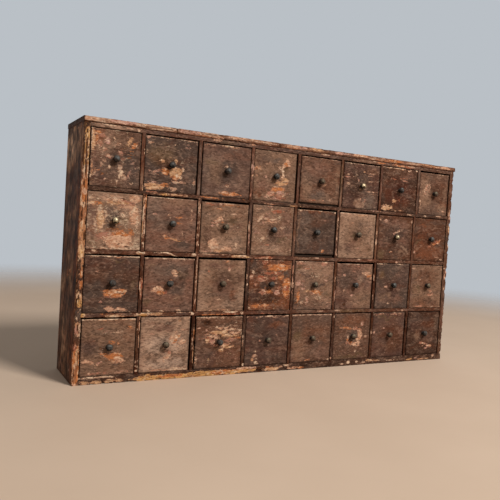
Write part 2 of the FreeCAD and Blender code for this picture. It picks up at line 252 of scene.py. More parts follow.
def flaking_paint():
    """Old paint over wood. Chip is 0 inside the film, 0.5 at a flake's rough edge and 1 well
    inside bare wood; Worn sets how many small flecks have gone; Grain stretches it all; Bloom is
    how pale the film has gone where it is chalky."""
    group, take, give = shader_group(
        "flaking_paint",
        {"Film": "Color", "Bare": "Color", "Chip": "Float", "Worn": "Float", "Grain": "Vector",
         "Bloom": "Float"},
        {"Color": "Color", "Roughness": "Float", "Height": "Float"})
    drawn = stretch(group, put(group, "TexCoord", take="Object"), take["Grain"])
    lines = stretch(group, drawn, take["Grain"])

    def rough(scale, detail, sharp=0.62, bend=0.0, where=drawn):
        return cloud(group, where, scale, detail, sharp, bend)

    def about_zero(value, size):
        return times(group, less(group, value, 0.5), size)

    # What is lost: the chips with frayed edges and islands of film, small flecks and thin scrapes.
    fray = plus(group, about_zero(rough(170.0, 7.0, 0.72), 1.3), about_zero(rough(60.0, 3.0), 0.5))
    edge = plus(group, take["Chip"], fray)
    lost = ease_in(group, edge, 0.49, 0.53)
    ground_shows = less(group, lost, ease_in(group, edge, 0.56, 0.66))
    island = times(group, ease_in(group, rough(210.0, 6.0, 0.72, 0.5), 0.53, 0.57),
                   ease_in(group, edge, 1.35, 0.8))
    lost = times(group, lost, less(group, 1.0, island))
    limit = less(group, less(group, 0.80, times(group, take["Worn"], 0.18)), times(group, take["Chip"], 0.22))
    lost = larger(group, lost, ease_in(group, less(group, rough(430.0, 5.0, bend=0.6), limit), 0.0, 0.03))
    limit = less(group, 0.80, times(group, take["Worn"], 0.32))
    scraped = ease_in(group, less(group, rough(150.0, 7.0, 0.72, 0.5), limit), 0.0, 0.05)
    lost = larger(group, lost, times(group, scraped, 0.55))

    # The film: smeared, warmer and colder in clouds, chalky, crumbling, scuffed and thread-fine
    # along the grain.
    smear = ease_in(group, rough(34.0, 6.0), 0.32, 0.68)
    film = mix(group, smear, mix(group, 0.22, take["Film"], tone(*FILM["pitch"])), take["Film"])
    warmth = rough(22.0, 5.0, bend=1.0)
    film = mix(group, ease_in(group, warmth, 0.52, 0.66), film, tone(*REDDENED), 0.25)
    film = mix(group, ease_in(group, warmth, 0.5, 0.36), film, tone(*CHILLED), 0.38)
    chalk = mix(group, take["Bloom"], take["Film"], tone(*CHALK))
    film = mix(group, ease_in(group, rough(75.0, 6.0, 0.7, 0.8), 0.5, 0.66), film, chalk, 0.5)
    film = mix(group, ease_in(group, rough(190.0, 6.0, 0.7, 0.4), 0.54, 0.62), film, chalk,
               plus(group, 0.34, times(group, take["Worn"], 0.6)))
    scuff = ease_in(group, rough(150.0, 7.0, 0.75, 0.5), 0.48, 0.6)
    film = mix(group, scuff, film, tone(*SCUFF_DIRT), plus(group, 0.44, times(group, take["Worn"], 0.3)))
    threads = ease_in(group, rough(620.0, 4.0, where=lines), 0.38, 0.66)
    film = mix(group, threads, film, tone(*THREAD_DIRT), 0.5)

    # The wood: streaked, and where a mark's colour is a pale one stained, scrubbed and ringed by
    # the ground coat too. Its pits hold dirt.
    streak = rough(420.0, 5.0, where=lines)
    wood = mix(group, ease_in(group, streak, 0.38, 0.66), take["Bare"],
               mix(group, 0.55, take["Bare"], tone(*LATE_WOOD)))
    clean = ease_in(group, put(group, "RGBToBW", {"Color": take["Bare"]}), 0.02, 0.14)
    stain = times(group, clean, ease_in(group, rough(130.0, 6.0, 0.7), 0.48, 0.6))
    wood = mix(group, stain, wood, tone(*WOOD_STAIN), 0.5)
    pale = times(group, clean, ease_in(group, rough(180.0, 6.0, 0.7, 0.3), 0.52, 0.6))
    wood = mix(group, pale, wood, tone(*SCRUBBED_WOOD), 0.55)
    wood = mix(group, ease_in(group, rough(240.0, 5.0, 0.7, 0.3), 0.56, 0.62), wood, tone(*PIT_DIRT), 0.65)
    wood = mix(group, ground_shows, wood, tone(*GROUND_COAT), times(group, clean, 0.45))

    group.links.new(mix(group, lost, film, wood), give["Color"])
    dull = plus(group, times(group, lost, 0.2), plus(group, 0.6, times(group, smear, 0.12)))
    group.links.new(dull, give["Roughness"])
    relief = less(group, times(group, scuff, -0.2), lost)
    relief = plus(group, relief, times(group, streak, times(group, lost, 0.6)))
    group.links.new(less(group, relief, times(group, threads, 0.25)), give["Height"])
    return group


def field(tree, label, take="Fac"):
    """The value, or the Color, that a mesh carries under this label."""
    return put(tree, "Attribute", take=take, attribute_name=label)


def painted(name, grain, bloom):
    """A material of the flaking paint; the mesh carries where each colour is."""
    material, tree, surface = new_material(name)
    coat = put(tree, "Group", {
        "Film": field(tree, "film", "Color"), "Bare": field(tree, "bare", "Color"),
        "Chip": field(tree, "chip"), "Worn": field(tree, "worn"), "Grain": grain, "Bloom": bloom},
        node_tree=FLAKING_PAINT).node.outputs
    tree.links.new(skin(tree, coat["Color"], coat["Roughness"], coat["Height"], strength=0.55,
                        deep=0.0006, Specular_IOR_Level=0.05), surface)
    return material


FLAKING_PAINT = flaking_paint()


def listed(text):
    """Marks written as 'colour x z width height turn; ...', in mm and degrees."""
    marks = [line.split() for line in text.split(";")]
    return [(words[0], *map(float, words[1:])) for words in marks if words]


def lay_marks(u, v, ground, marks, soft=6.0, drift=(0.0, 0.0)):
    """Film and bare colours and the chip depth at points u, v of a face painted in ground.
    drift wanders the edges of the patches of paint further than those of the chips."""
    film = np.tile(tone(*FILM[ground]), (len(u), 1))
    bare = np.tile(tone(*BARE["ochre"]), (len(u), 1))
    depth = np.full(len(u), -99.0)
    for name, middle_u, middle_v, wide, high, *turn in marks:
        angle = math.radians(turn[0]) if turn else 0.0
        wander = 1.0 if name in FILM else 0.0
        du, dv = u + drift[0] * wander - middle_u, v + drift[1] * wander - middle_v
        along = du * math.cos(angle) + dv * math.sin(angle)
        across = dv * math.cos(angle) - du * math.sin(angle)
        out = np.hypot(along / (wide / 2), across / (high / 2))
        inside = (1 - out) * min(wide, high) / 2
        if name in FILM:
            share = np.clip((FILM_FADE[0] - out) / FILM_FADE[1], 0, 1)[:, None]
            film += (np.array(tone(*FILM[name])) - film) * share * share * (3 - 2 * share) * FILM_COVER
        else:
            bare[(inside > 0) | (inside > depth)] = tone(*BARE[name])
            depth = np.maximum(depth, inside)
    return film, bare, np.clip(0.5 + depth / (2 * soft), 0, 1)


# ---- The sides ---------------------------------------------------------------------------
# Two upright boards of 16 mm pine, housed for the shelves and nailed into their ends. Their
# front edges are rubbed to bare ochre wood; the outer faces are nearly black with old paint.
MM = 0.001
HALF_WIDTH, FRONT, BACK = 593.0, -87.5, 87.5
SIDE_THICK, SIDE_HIGH = 16.0, 612.0
FACE_ROOM, FRONT_ROOM, END_ROOM, BACK_ROOM = 0.4, 0.1, 0.2, 0.3     # kept inside the frame's solids
EASED = 1.3                     # how far a board's arris is rounded
ARRIS_POINTS = (0.3, 0.8, 1.27)     # where points stand round it, in radians
SAWN_END = 0.6                  # how far in a board's ends are eased
FINE_DEPTH = 10.0               # how far behind the front edge the mesh stays fine
WEAR_REACH = 2.2                # how far from an arris its wear dies away
CHEW_SIZE, CHEW_DEPTH = 9.0, 3.2        # the small losses all along an arris
WAVE_SIZE, WAVE_DEPTH = 16.0, 0.35      # the hollows planed into a front edge
RUB_SIZE, RUB_REACH, RUB_DEPTH = 26.0, 1.6, 6.0     # where hands have rubbed an arris through
EDGE_MARKS_DEPTH = 2.6          # how far the front edge's wear runs back round the arrises
FLANK_SHADE_DEPTH = 12.0              # how far in the painted shade of the gap round a drawer reaches
# The left edge's dark mark at its head, 611 up, is a painted shadow under the top board.
SIDE_EDGES = {                  # marks along the front edge: x in its thickness and z up it
    "left": """tawny 8 420 20 170; orange 9 450 10 60; amber 8 352 18 70; ochre 8 312 18 34;
    gold 9 310 8 22; salmon 5 345 5 6; peach 9 452 12 14; tawny 9 502 16 40; gold 9.5 586 11 30;
    gold 5.8 546 3.4 96; gold 13.4 548 3.4 104; plum 9 548 6 80; chip_dark 9.5 550 4.6 56;
    chip_dark 9 590 3.4 12; chip_dark 9 506 4.4 34; cream 13.5 500 3 34; cream 5.5 498 3 30;
    moss 1.5 560 5 100; chip_dark 3 530 3 60; chip_dark 15.4 590 2.6 26; chip_dark 8 611 24 5;
    chip_dark 7 470 3.2 24; chip_dark 12 430 3.2 30; chip_dark 5 400 3.2 36; chip_dark 13 350 3.2 30;
    dusk 4 268 8 74; amber 12 284 6 40; orange 10 262 6 22; red 8 242 6 10; orange 11 236 8 20;
    chip_dark 14 276 4 14; chip_dark 14 384 4 20; dusk 8 218 18 14; ochre 8 206 14 30; gold 9 193 10 22;
    chip_dark 7 206 3 20; chip_dark 3 196 4 20; slate 8 168 20 26; cream 5 158 3 5; cream 12 178 3.4 5;
    beige 8 172 3 4; cream 13 132 4 32; ochre 8 141 10 16; salmon 6 129 8 24; chip_dark 9 138 3.2 26;
    dusk 8 102 22 20; peach 9 118 10 8; umber 8 100 20 34; orange 8 45 18 96; tawny 6 30 10 50;
    ochre 10 70 8 36; chip_dark 12 60 3.2 40; chip_dark 4 24 3.2 30; peach 8 2 14 6; red 4 90 8 18""",
    "right": """moss 8 12 18 22; cream 11 20 5 6; umber 8 38 18 24; dusk 8 74 18 40; slate 12 84 5 44;
    plum 9 116 8 34; rose 10 160 9 56; dusk 8 200 18 20; russet 5 240 8 30; beige 8 232 5 8;
    rose 11 222 6 40; salmon 8 270 8 20; pink 12 286 6 12; beige 8 297 14 3; umber 8 330 18 50;
    beige 13 372 5 20; cream 14 380 3 8; dusk 8 396 18 28; ochre 11 424 6 26; plum 8 450 16 20;
    peach 9 474 6 24; russet 8 505 14 30; pitch 11 518 10 14; rose 7 548 12 24; russet 8 582 14 34;
    pitch 14 576 3 16; pink 11 462 5 10""",
}
SIDE_BITES = {                  # where the edge is chewed: height, length and depth of each bite
    "left": ((276, 12, 3.2), (240, 20, 2.2), (262, 10, 2.6), (384, 16, 2.0), (178, 8, 2.0),
             (215, 10, 2.6), (96, 16, 1.2), (330, 8, 1.0), (560, 40, 1.0), (505, 14, 1.6)),
    "right": ((576, 14, 3.0), (520, 18, 2.4), (470, 12, 2.0), (440, 10, 2.6), (380, 22, 3.0),
              (350, 8, 2.0), (292, 12, 2.6), (262, 16, 2.0), (222, 14, 2.4), (132, 20, 1.4),
              (60, 12, 2.0), (22, 10, 2.6)),
}
# Marks on the left side's outer face: y back from its front edge, and z.
LEFT_FACE_MARKS = """blush 84 566 130 80; chalky 140 560 90 80; blush 100 596 80 24; fawn 20 560 14 90;
    plum 30 510 22 60; umber 22 560 9 110; slate 60 496 60 34; soot 84 492 50 20; dusk 100 504 34 20;
    blush 142 520 60 36; plum 130 486 60 22; fawn 36 442 40 60; blush 44 412 60 40; plum 86 410 50 70;
    plum 82 452 40 26; fawn 124 462 60 30; slate 124 420 70 40; mauve 56 372 34 36; oxblood 14 380 14 200;
    rust 30 350 20 40; slate 90 380 40 40; tan 112 392 40 20; mauve 120 366 60 30; pitch 160 352 24 90;
    slate 66 338 80 30; dusk 104 332 50 30; soot 160 330 30 70; soot 40 330 20 50; brown 70 300 60 36;
    tan 102 300 34 30; plum 140 300 50 50; tan 56 262 44 54; fawn 58 256 30 34; rust 88 256 60 34;
    olive 74 244 50 20; dusk 126 262 50 40; fawn 54 226 34 44; umber 96 222 60 40; fawn 140 232 40 44;
    blush 158 216 40 44; dusk 60 184 100 36; plum 104 184 60 40; mauve 150 184 40 40; rose 142 160 30 30;
    plum 60 142 60 40; tan 104 140 50 34; fawn 128 138 54 38; slate 40 132 26 26; oxblood 34 100 50 60;
    clay 70 98 60 40; rose 106 94 60 50; fawn 122 100 50 40; fawn 94 56 70 50; blush 106 64 44 28;
    oxblood 30 440 26 110; oxblood 28 350 34 90; oxblood 30 250 24 90; oxblood 30 190 30 50;
    russet 30 40 34 60; warm 66 60 60 50; slate 48 32 40 26; dust 90 18 120 34; rose 134 20 60 30;
    oxblood 12 330 9 160; oxblood 13 220 9 200; dusk 13 90 8 120; soot 14 462 8 70; soot 24 240 8 60;
    pitch 40 300 5 160; pitch 84 400 6 160; fawn 56 540 8 120; pitch 118 470 6 60; soot 66 540 7 120;
    soot 146 560 8 90; pitch 100 150 6 90; fawn 76 100 7 90; rust 24 88 46 7; red 9 440 7 80;
    red 9 372 7 60; red 9 300 6 50; tawny 8 505 7 50; red 8 170 6 40; red 9 60 6 50; ochre 8 544 8 44;
    beige 3 584 6 40; ochre 4 545 6 50; peach 2 506 6 40; ochre 3 470 5 30; orange 4 452 6 50;
    tawny 3 410 6 70; orange 3 372 5 40; tawny 2 330 5 50; orange 3 296 6 30; tawny 2 250 5 50;
    amber 2 190 6 26; beige 3 178 5 14; tawny 2 138 5 50; salmon 4 92 7 18; orange 2 60 6 50;
    amber 2 20 6 44; beige 5 210 4 16; tan 12 590 8 40; beige 30 560 4 40; pink 34 30 12 5;
    orange 90 8 30 4; salmon 60 602 22 5; tawny 70 262 24 7; tawny 96 250 30 5; beige 120 590 6 24;
    salmon 90 410 5 20; pink 120 360 5 14; tawny 140 90 5 30; beige 150 540 5 30; pink 156 220 6 16;
    salmon 104 60 6 22; tawny 52 226 5 24"""
FACE_SWAY, FACE_SWAY_SIZE = 5.0, 22.0       # how far the marks' edges wander
FACE_WEATHER = ((15.0, 4, 0.45, 1.0), (8.0, 3, 0.25, 0.5))      # cloud size, octaves, squash, share
FACE_LIFT, FACE_SWING, FACE_CAST = 1.26, 1.9, (1.04, 1.0, 0.93)     # how weather shades the face
RIGHT_FACE_EVENED, RIGHT_FACE_CALM = 0.55, 0.6      # the right face is plainer by so much


def ripple(points, size, seed, octaves=3):
    """Smooth seeded noise, one value from about -1 to 1 to each point in mm."""
    shift = Vector((seed * 7.31, seed * 3.17, seed * 5.53))
    return np.array([noise.fractal(Vector(p) / size + shift, 0.9, 2.0, octaves) for p in points])


def lay_field(piece, label, values):
    """Gives a piece one value, or one colour, to each of its points."""
    values = np.asarray(values, np.float32)
    kind, key = ("FLOAT", "value") if values.ndim == 1 else ("FLOAT_COLOR", "color")
    piece.data.attributes.new(label, kind, "POINT").data.foreach_set(key, values.ravel())


def make(name, body, points, faces, material, nodes, paint=None, smooth=True):
    """A piece from points in mm, riding on a body and standing for CAD nodes. paint is its
    film, bare, chip and worn values, one to each point."""
    mesh = bpy.data.meshes.new(name)
    mesh.from_pydata((np.asarray(points) * MM).tolist(), [], faces)
    mesh.polygons.foreach_set("use_smooth", [smooth and len(f) < 5 for f in faces])
    mesh.materials.append(material)
    piece = bpy.data.objects.new(name, mesh)
    for label, values in zip(("film", "bare", "chip", "worn"), paint or ()):
        lay_field(piece, label, values)
    bpy.context.scene.collection.objects.link(piece)
    shape = bmesh.new()
    shape.from_mesh(mesh)
    bmesh.ops.recalc_face_normals(shape, faces=shape.faces)
    shape.to_mesh(mesh)
    shape.free()
    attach(piece, body)
    if nodes:
        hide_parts(*nodes)
    return piece


def spread(start, end, gap):
    """Places from start to end, evenly and about gap apart."""
    return np.linspace(start, end, max(2, round(abs(end - start) / gap) + 1))


def loft(rings, count, first=0):
    """Faces between rings of count points each, with a cap at both ends."""
    last = first + (rings - 1) * count
    faces = [(a + k, a + (k + 1) % count, a + count + (k + 1) % count, a + count + k)
             for a in range(first, last, count) for k in range(count)]
    return faces + [tuple(range(first, first + count)), tuple(range(last, last + count))]


def plank(low, high, along, seed, chew, step=2.5, fine=2.0, coarse=16.0, bites=(), ease=EASED):
    """Points and faces of a sawn board between two corners. along is 0 for one that lies along X
    and 2 for an upright one. Its front edge has fine mesh and the arrises beside it are worn:
    a little everywhere, by chew, and deeper at each bite."""
    across = 2 - along
    left, right, near, far = low[across], high[across], low[1], high[1]
    arris = [(ease * (1 - math.cos(t)), ease * (1 - math.sin(t))) for t in ARRIS_POINTS]
    turn = min(near + ease + FINE_DEPTH, far - ease - 1)
    flank = [*spread(near + ease, turn, fine), *spread(turn, far - ease, coarse)[1:]]
    ring = np.array([
        *((a, near) for a in spread(left + ease, right - ease, fine)),
        *((right - p, near + q) for p, q in reversed(arris)),
        *((right, y) for y in flank),
        *((right - p, far - q) for p, q in arris),
        *((a, far) for a in spread(right - ease, left + ease, coarse)),
        *((left + p, far - q) for p, q in reversed(arris)),
        *((left, y) for y in reversed(flank)),
        *((left + p, near + q) for p, q in arris)])
    runs = [low[along], *spread(low[along] + SAWN_END, high[along] - SAWN_END, step), high[along]]
    points = np.zeros((len(runs), len(ring), 3))
    points[:, :, along] = np.array(runs)[:, None]
    points[:, :, across], points[:, :, 1] = ring[:, 0], ring[:, 1]
    for end in (0, -1):
        points[end, :, across] = np.clip(ring[:, 0], left + SAWN_END, right - SAWN_END)
        points[end, :, 1] = np.clip(ring[:, 1], near + SAWN_END, far - SAWN_END)
    flat = points.reshape(-1, 3)

    from_face = flat[:, 1] - near
    from_side = np.minimum(flat[:, across] - left, right - flat[:, across])
    close = np.exp(-(from_face + from_side) / WEAR_REACH)
    band = close > 0.02
    lost = np.zeros(len(flat))
    lost[band] = np.clip(ripple(flat[band], CHEW_SIZE, seed, 4), 0, 1) * chew * CHEW_DEPTH
    flank_side = np.where(flat[:, across] > (left + right) / 2, 1.0, -1.0)
    for place, length, depth, *which in bites:
        reach = np.clip(1 - np.abs(flat[:, along] - place) / (length / 2), 0, 1)
        chosen = (flank_side == which[0]) if which else 1.0
        lost += np.sqrt(reach) * depth * chosen * (0.75 + 0.5 * (np.sin(flat[:, along] * 1.7) > 0))
    flat[:, across] -= flank_side * lost * close
    flat[:, 1] += lost * close
    face = from_face < 0.3
    flat[face, 1] += WAVE_DEPTH * (1 + ripple(flat[face], WAVE_SIZE, seed + 3, 3))
    return flat, loft(len(runs), len(ring))


def edge_paint(points, low, high, along, ground, marks, seed, worn, start=0.0, arris=0.3):
    """Paint for a plank: marks on its front edge, by the place along it from start and across
    it, flaked arrises beside the edge, painted shade behind it and dusty unpainted wood further in."""
    across = 2 - along
    u, v = points[:, along] - start, points[:, across] - low[across]
    if along == 2:
        u, v = v, u
    film, bare, chip = lay_marks(u, v, ground, listed(marks), soft=3.0)
    depth = points[:, 1] - low[1]
    from_side = np.minimum(points[:, across] - low[across], high[across] - points[:, across])
    band = depth < RUB_DEPTH
    rub = np.zeros(len(points))
    rub[band] = ripple(points[band], RUB_SIZE, seed + 5, 3) + 0.2
    close = np.exp(-(depth + from_side) / RUB_REACH)
    chip = np.clip(chip + arris * close * np.clip(rub * 2, 0, 1.4), 0, 1)
    # Behind the edge the flanks, seen in the gaps, are painted near-black as shade; further in, dust.
    deep = depth > EDGE_MARKS_DEPTH
    film[deep] = tone(*FILM["pitch"])
    film[depth > FLANK_SHADE_DEPTH] = tone(*FILM["dust"])
    chip[deep] = 0.0
    return film, bare, chip, np.where(deep, 0.15, worn)


def side(label, sign):
    """One side board; sign is -1 for the left one. Its outer face is painted apart from its
    edge, with the left one's marks, which are upside down and fainter on the right."""
    faces_x = sign * (HALF_WIDTH - SIDE_THICK + FACE_ROOM), sign * (HALF_WIDTH - END_ROOM)
    low = (min(faces_x), FRONT + FRONT_ROOM, 0.0)
    high = (max(faces_x), BACK - BACK_ROOM, SIDE_HIGH - END_ROOM)
    bites = [(*bite, sign) for bite in SIDE_BITES[label]]
    points, faces = plank(low, high, 2, seed=11 + sign, chew=0.8, coarse=6.0, bites=bites)
    ground = "umber" if sign > 0 else "dusk"
    film, bare, chip, worn = edge_paint(points, low, high, 2, ground, SIDE_EDGES[label],
                                        seed=20 + sign, worn=0.75)
    face = points[:, 0] * sign > abs(faces_x[1]) - 2.0
    face &= points[:, 1] > FRONT + EDGE_MARKS_DEPTH - 1.5
    u, v = points[face, 1] - FRONT, points[face, 2]
    sway = FACE_SWAY * ripple(points[face] * (1, 1, 0.25), FACE_SWAY_SIZE, 31)
    v = v if sign < 0 else SIDE_HIGH - v
    marks = listed(LEFT_FACE_MARKS)
    film[face], bare[face], chip[face] = lay_marks(u + sway, v, "umber", marks, soft=4.0)
    weather = sum(share * ripple(points[face] * (1, 1, squash), size, seed, octaves)
                  for seed, (size, octaves, squash, share) in enumerate(FACE_WEATHER, start=35))
    if sign > 0:
        film[face] += (np.array(tone(*FILM["umber"])) - film[face]) * RIGHT_FACE_EVENED
        weather = weather * RIGHT_FACE_CALM
    film[face, :3] *= np.clip(FACE_LIFT + FACE_SWING * weather, 0.2, 2.6)[:, None] * FACE_CAST
    worn[face] = 0.45
    make(f"{label}_side", "carcass", points, faces, PAINTED_UPRIGHT, [f"side_{label}"],
         (film, bare, chip, worn))


PAINTED_UPRIGHT = painted("old_paint_upright", grain=(1.0, 1.0, 0.4), bloom=0.2)
side("left", -1)
side("right", 1)


# ---- The bottom and the shelves ----------------------------------------------------------
# Four boards run the full depth across the carcass, their ends in the sides' housings. Every
# drawer runs on one. Their front edges are painted, and chipped where the dividers cross.
INNER_HALF = HALF_WIDTH - SIDE_THICK
BOARD_BACK = BACK - 9.0
HOUSED, SET_BACK = 2.0, 0.25    # how far a board goes into the sides, and stands behind their edges
UNDER_ROOM, OVER_ROOM = 0.1, 0.05
CROSS_BOARDS = {                # the heights of its faces, its paint, and its edge's marks: x, z
    "bottom_board": (0.0, 19.0, "dusk", """cream 40 16 50 4; cream 88 16 38 4; ochre 30 5 24 8;
    ochre 58 5 26 9; ochre 88 6 24 9; ochre 112 6 22 8; gold 170 6 34 12; chip_dark 75 4 8 5;
    chip_dark 102 3 7 5; slate 140 8 26 18; gold 230 6 170 13; gold 182 12 20 9; orange 250 8 80 8;
    gold 340 7 130 15; orange 400 8 90 12; gold 462 9 60 10; peach 450 14 34 6; pink 478 14 26 6;
    chip_dark 214 3 16 3; gold 420 5 50 10; chip_dark 502 7 22 16; ochre 540 7 58 9; orange 528 13 18 5;
    beige 572 11 14 6; cream 590 14 22 5; slate 580 4 24 6; peach 612 6 36 7; orange 636 5 26 6;
    pitch 680 9 200 18; umber 700 10 60 10; dusk 800 9 90 16; pitch 600 8 60 14; beige 784 6 14 6;
    cream 806 10 12 9; beige 838 10 12 8; beige 862 7 18 5; ochre 888 12 26 6; ochre 918 10 36 4;
    cream 976 8 50 3; dusk 1020 10 40 14; gold 1048 6 30 6; pink 1076 9 14 6; ochre 1106 5 54 4;
    beige 1150 13 12 8; dusk 1100 10 120 14"""),
    "shelf_3": (159.0, 169.0, "russet", """gold 18 5 14 10; plum 48 5 44 9; ochre 92 3 52 6;
    cream 96 2 24 4; orange 68 7 16 4; slate 124 6 22 8; cream 160 5 40 9; gold 164 4 22 8;
    ochre 196 6 34 7; russet 228 5 30 8; cream 184 9 24 3; cream 268 9 40 3; plum 268 4 40 7;
    cream 295 5 8 10; orange 352 2 56 3; cream 408 8 42 4; red 406 2 48 4; cream 438 5 8 7;
    plum 520 5 140 9; red 500 3 40 3; tan 640 6 60 8; beige 690 6 26 4; olive 800 5 120 8;
    beige 755 7 16 4; clay 930 5 60 6; beige 1005 4 12 5; russet 1085 5 110 8; moss 1155 5 24 8"""),
    "shelf_2": (309.0, 319.0, "russet", """cream 40 7 12 4; beige 22 2 10 3; russet 100 5 76 6;
    cream 150 6 22 9; ochre 150 3 14 5; cream 204 8 18 2; cream 228 5 30 4 -20; russet 262 5 32 7;
    cream 290 5 14 8; beige 350 8 60 2; ochre 418 5 44 7; cream 432 7 22 4; gold 444 4 12 5;
    red 504 4 36 7; salmon 484 2 30 4; plum 575 5 30 8; tan 630 5 60 7; beige 670 8 14 3; grey 724 4 26 6;
    rose 790 6 70 7; cream 822 8 10 4; salmon 864 7 22 4; pink 968 3 10 8; russet 1060 5 90 7;
    beige 1134 1 22 3; umber 1160 5 30 8"""),
    "shelf_1": (456.0, 466.0, "dusk", """dusk 75 5 130 9; russet 240 5 110 8; ochre 222 5 76 3;
    gold 200 4 18 3; red 168 8 34 2; slate 268 2 34 3; orange 322 6 46 3; plum 396 5 44 8;
    russet 500 6 120 6; salmon 506 2 30 4; ochre 576 2 28 3; dusk 640 6 160 8; russet 740 4 100 5;
    dusk 860 5 90 8; pink 868 7 44 2; brown 925 5 60 6; beige 1008 5 22 4; cream 1072 5 10 4;
    beige 1130 8 20 3; umber 1150 5 40 9; umber 800 6 120 7"""),
}
BOARD_BITES = {                 # x from the left, length and depth, and +1 or -1 for one arris only
    "bottom_board": ((75, 10, 3.4, -1), (102, 8, 3.0, -1), (48, 8, 2.2, -1), (140, 24, 2.0, -1),
                     (500, 18, 2.2, 1), (575, 16, 2.2, 1), (640, 10, 2.0, -1), (770, 30, 1.8, 1),
                     (905, 20, 1.6, 1), (1130, 40, 2.0, 1)),
    "shelf_3": ((160, 30, 1.6), (408, 36, 1.4, 1), (270, 30, 1.4, 1), (20, 10, 1.4), (700, 20, 1.2, 1)),
    "shelf_2": ((150, 18, 1.8), (228, 20, 1.4), (420, 30, 1.6), (290, 12, 1.4), (865, 14, 1.2, 1)),
    "shelf_1": ((222, 40, 1.0, 1), (150, 12, 1.4), (1008, 14, 1.2), (1072, 12, 1.2), (440, 10, 1.4)),
}


def from_left(bites):
    """Bites whose places are measured from the carcass's left end, as places along X."""
    return [(x - HALF_WIDTH, *rest) for x, *rest in bites]


def cross_board(name, seed):
    """The bottom, a shelf or the rail, painted along its front edge."""
    foot, head, ground, marks = CROSS_BOARDS[name]
    low = (-INNER_HALF - HOUSED, FRONT + SET_BACK, foot + UNDER_ROOM)
    high = (INNER_HALF + HOUSED, BOARD_BACK - BACK_ROOM, head - OVER_ROOM)
    bites = from_left(BOARD_BITES.get(name, ()))
    points, faces = plank(low, high, 0, seed=seed, chew=0.6, bites=bites)
    paint = edge_paint(points, low, high, 0, ground, marks, seed=seed, worn=0.6, start=-HALF_WIDTH,
                       arris=0.34)
    make(name, "carcass", points, faces, PAINTED_ACROSS, [name], paint)


PAINTED_ACROSS = painted("old_paint_across", grain=(0.45, 1.0, 1.0), bloom=0.42)
for seed, name in enumerate(CROSS_BOARDS, start=3):
    cross_board(name, seed)


# ---- The dividers ------------------------------------------------------------------------
# Seven short uprights stand between the drawers of each row, let into the boards above and
# below and set out by eye. Their narrow edges have lost paint down both arrises.
ROW_FLOORS = (466.0, 319.0, 169.0, 19.0)     # what each row of drawers runs on, from the top row down
ROW_HEIGHTS = (136.0, 137.0, 140.0, 140.0)
DIVIDER_THICK, DIVIDER_SUNK = 9.0, 2.5
DIVIDER_SHIFTS = (              # how far right of an even spacing each one stands
    (-14, -10, -4, -3, 0, 2, 7), (-3, -4, -2, -5, -4, -2, 1),
    (-2, -3, 1, 0, -1, 1, 0), (-3, -3, 0, 1, 3, 3, -3),
)
DIVIDER_DARKENING = ((1.14, 1.14, 1.14), (0.8, 0.66, 0.58), (0.46, 0.3, 0.2), (0.38, 0.24, 0.14))   # by row, darker toward the bottom
DIVIDER_EDGES = (               # marks by row, "/" between dividers: x in its thickness, z from its foot
    """russet 4 95 5 60; beige 8 92 3 8; ochre 8 8 4 14; cream 8 100 3 6; tan 4 30 7 50 /
    slate 4 70 9 130; grey 5 20 7 40; grey 3 110 3 40 / rose 5 80 9 120; pink 8 86 4 10; pink 2 90 4 10;
    orange 6 66 5 6; beige 8 64 3 6; salmon 4 14 4 8 / plum 5 70 9 130; grey 3 60 3 60 / olive 3 80 6 110;
    tan 3 30 6 40; beige 8 90 3 5 / plum 5 90 9 80; rose 6 60 4 50; russet 5 12 8 14 / grey 5 110 7 70;
    slate 5 40 9 60""",
    """ochre 1 90 3 90; peach 4 110 5 44; salmon 4 90 4 36; cream 5 20 5 12; cream 1 100 2 50;
    orange 7 120 3 30; russet 4 50 6 60; beige 6 60 3 40 / beige 2 80 2 100; cream 5 90 2 80;
    tan 7 70 3 110; beige 4 30 4 14; cream 6 24 4 8; umber 4 60 3 100 / slate 4 70 9 130; pink 4 60 3 50;
    beige 3 78 3 26; grey 2 120 5 20; russet 5 10 7 14 / tan 5 70 9 130; grey 5 90 5 30; pink 6 50 3 12 /
    olive 4 100 7 70; beige 4 70 2 120; beige 5 20 3 24; rose 4 124 8 14 / tan 4 70 9 130; cream 4 82 4 9;
    beige 4 55 4 20; tan 4 20 5 50; rose 5 120 8 20 / brown 5 70 9 130; tan 4 110 6 30; russet 5 50 7 30""",
    """rose 4 70 9 130; red 5 60 5 44; pink 3 72 3 24; slate 4 30 5 40 / tan 2 80 3 130; umber 4 70 3 130;
    beige 5 90 2 100; tan 8 70 3 130; rose 4 20 7 30 / umber 4 70 9 130; beige 3 96 3 14; cream 4 74 4 8;
    russet 7 90 4 60; pitch 7 40 4 60 / salmon 2 116 4 26; salmon 2 84 4 34; russet 2 50 4 60;
    beige 5 70 2 30; slate 6 40 5 70; olive 6 110 5 40 / tan 4 80 9 120; rose 4 30 8 50; beige 5 96 3 20;
    pink 7 40 4 24 / tan 3 110 6 40; umber 6 90 5 60; beige 3 40 3 24; beige 2 96 5 14; dusk 6 40 5 60 /
    tan 3 60 6 110; brown 6 80 6 120; grey 2 30 3 40""",
    """tan 3 90 7 110; cream 5 20 3 30 70; cream 4 10 7 6; beige 6 34 3 20 -60; beige 2 112 3 8;
    peach 7 110 2 60; brown 4 40 7 40 / slate 4 90 9 90; cream 4 76 3 26; beige 5 60 3 10;
    ochre 8 40 3 50; orange 8 104 3 24; umber 5 40 7 40 / grey 4 70 9 130; cream 2 84 4 10;
    beige 2 70 3 12; tan 4 40 6 40; cream 6 8 6 6 / rose 4 80 9 120; plum 5 30 8 50; grey 3 100 4 60 /
    plum 4 60 9 110; beige 7 132 5 6; rose 7 90 3 80; salmon 4 10 6 6 / olive 4 60 9 110; beige 4 80 5 10;
    rose 4 120 9 14; russet 4 20 7 30 / umber 5 60 9 120; tan 4 112 5 22; beige 4 108 3 6""",
)


def divider_middle(row, k):
    """X of a row's k-th divider."""
    pitch = (2 * INNER_HALF + DIVIDER_THICK) / 8
    return -INNER_HALF - DIVIDER_THICK / 2 + pitch * k + DIVIDER_SHIFTS[row][k - 1]


